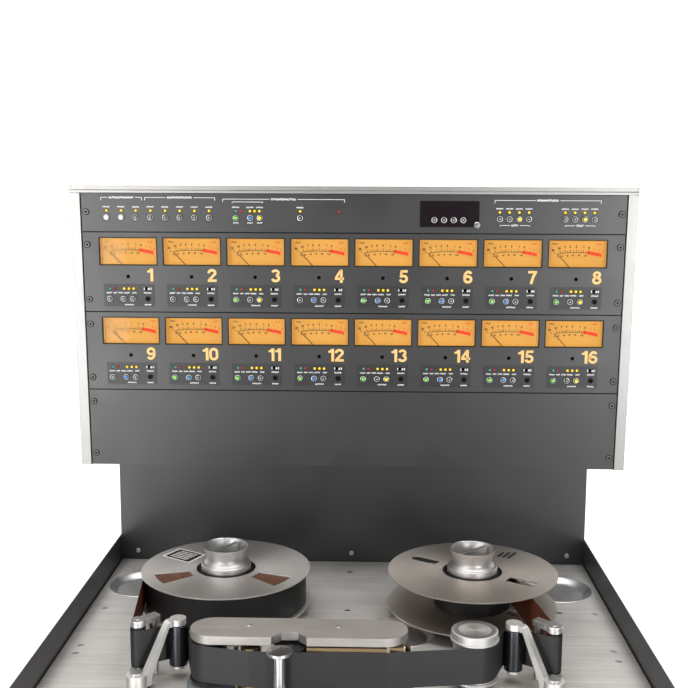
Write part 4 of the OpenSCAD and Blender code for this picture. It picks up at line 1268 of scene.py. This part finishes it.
# in order from the supply reel: how many stretches each ribbon takes, and the body or bodies that hold it
for name, count, body, far_body in (
    ("tape_from_supply", 2, "cabinet", None),
    ("tape_to_left_arm", 1, "cabinet", "left_arm"),
    ("tape_on_left_arm", 1, "left_arm", None),
    ("tape_from_left_arm", 1, "left_arm", "cabinet"),
    ("tape_entry", 3, "cabinet", None),
    ("tape_to_pinch", 1, "cabinet", "pinch_lever"),
    ("tape_on_pinch", 1, "pinch_lever", None),
    ("tape_from_pinch", 1, "pinch_lever", "cabinet"),
    ("tape_over_heads", 9, "cabinet", None),
    ("tape_to_right_arm", 1, "cabinet", "right_arm"),
    ("tape_on_right_arm", 1, "right_arm", None),
    ("tape_from_right_arm", 1, "right_arm", "cabinet"),
    ("tape_to_takeup", 2, "cabinet", None),
):
    points = next(stretches)
    for _ in range(count - 1):
        points = points + next(stretches)[1:]
    o = ribbon(name, points, None if far_body else body)
    if far_body:
        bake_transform(o)

# ---------- control panel ----------

press = Vector(joints["transport_key_press"]["axis"]).normalized()
KEYS = turn_to(RIGHT, (-press).cross(RIGHT).normalized(), -press) @ Matrix.Scale(MM, 4)
icons = (
    joined([prism([(-6, 0), (1, -5), (1, 5)], 0, 0.1), prism([(0, 0), (7, -5), (7, 5)], 0, 0.1)]),
    joined([prism([(6, 0), (-1, 5), (-1, -5)], 0, 0.1), prism([(0, 0), (-7, 5), (-7, -5)], 0, 0.1)]),
    block(-4.5, -4.5, 0, 4.5, 4.5, 0.1),
    prism([(-4.5, -5.5), (5.5, 0), (-4.5, 5.5)], 0, 0.1),
    turned([(5, 0), (5, 0.1), (0, 0.1)], 32),
)
keys = sorted(islands("transport_keys", KEYS.inverted()), key=lambda item: item[0].x)
caps, marks = [], []
for icon, (middle, size) in zip(icons, keys):
    x, y, z = size / 2
    caps.append(moved(prism(rounded(-x, -y, x, y, 3), -z, z), *middle))
    marks.append(moved(icon, middle.x, middle.y, middle.z + z))
o = piece("key_caps", joined(caps), KEYS, KEY, "keys", "key_plastic", 1.2, 3)
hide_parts("transport_keys")
piece("key_icons", joined(marks[:-1]), KEYS, LABEL_DARK, "keys", "key_plastic")
piece("record_icon", marks[-1], KEYS, PRINT_RED, "keys", "key_plastic")

# ---------- stage ----------


FLOOR_HALF = 9
floor = Look("floor", 226, 0.8)
floor.set("Emission Color", (1, 1, 1, 1))
floor.set("Emission Strength", floor.remap(floor.split(floor.place())[1], 0.02, 0.85, 0.3, 1.4))
floor.vary_colour(floor.noise(floor.place(), 2, 1), 0.98, 1.02)
mesh = bpy.data.meshes.new("floor")
corners = [(x * FLOOR_HALF, y * FLOOR_HALF, 0) for x, y in ((-1, -1), (1, -1), (1, 1), (-1, 1))]
mesh.from_pydata(corners, [], [[0, 1, 2, 3]])
mesh.materials.append(floor.material)
added("floor", mesh)

world = bpy.data.worlds.new("studio")
scene.world = world
world.use_nodes = True
wt = world.node_tree
background = wt.nodes["Background"]
coord = wt.nodes.new("ShaderNodeTexCoord")
split = wt.nodes.new("ShaderNodeSeparateXYZ")
remap = wt.nodes.new("ShaderNodeMapRange")
remap.interpolation_type = "SMOOTHSTEP"
for key, value in (("From Min", 0.1), ("From Max", 0.8), ("To Min", 0.22), ("To Max", 1.6)):
    remap.inputs[key].default_value = value
wt.links.new(coord.outputs["Generated"], split.inputs[0])
wt.links.new(split.outputs[1], remap.inputs["Value"])
wt.links.new(remap.outputs[0], background.inputs["Color"])


for name, at, aim, size, power in (
    ("left strip", (-1.27, -2.35, 0.95), (-0.3, 0.0, 1.0), (0.56, 1.7), 40),
    ("right strip", (1.36, -2.35, 1.1), (0.3, 0.0, 1.0), (0.5, 1.5), 38),
    ("left fill", (-1.9, -1.5, 2.1), (0, -0.2, 0.9), (1.0, 1.4), 14),
    ("top", (0, -0.45, 3.1), (0, -0.2, 0.8), (3.8, 1.6), 62),
):
    light = bpy.data.lights.new(name, "AREA")
    light.shape = "RECTANGLE"
    light.size, light.size_y = size
    light.energy = power
    o = added(name, light)
    o.location = at
    o.rotation_euler = (Vector(aim) - Vector(at)).to_track_quat("-Z", "Y").to_euler()

# ---------- camera ----------

PITCH, YAW, ROLL = 0.1448, -0.0249, 0.0046
forward = Vector((math.sin(YAW) * math.cos(PITCH), math.cos(YAW) * math.cos(PITCH), -math.sin(PITCH)))
level = Vector((math.cos(YAW), -math.sin(YAW), 0))
upright = level.cross(forward)
x_axis = level * math.cos(ROLL) + upright * math.sin(ROLL)
y_axis = upright * math.cos(ROLL) - level * math.sin(ROLL)
camera = added("camera", bpy.data.cameras.new("camera"))
camera.data.lens = 55.09
camera.data.sensor_width = 36
camera.data.clip_start = 0.05
camera.matrix_world = Matrix.Translation((0.0305, -1.5225, 1.4993)) @ turn_to(x_axis, y_axis, -forward)
scene.camera = camera
scene.view_settings.view_transform = "Standard"
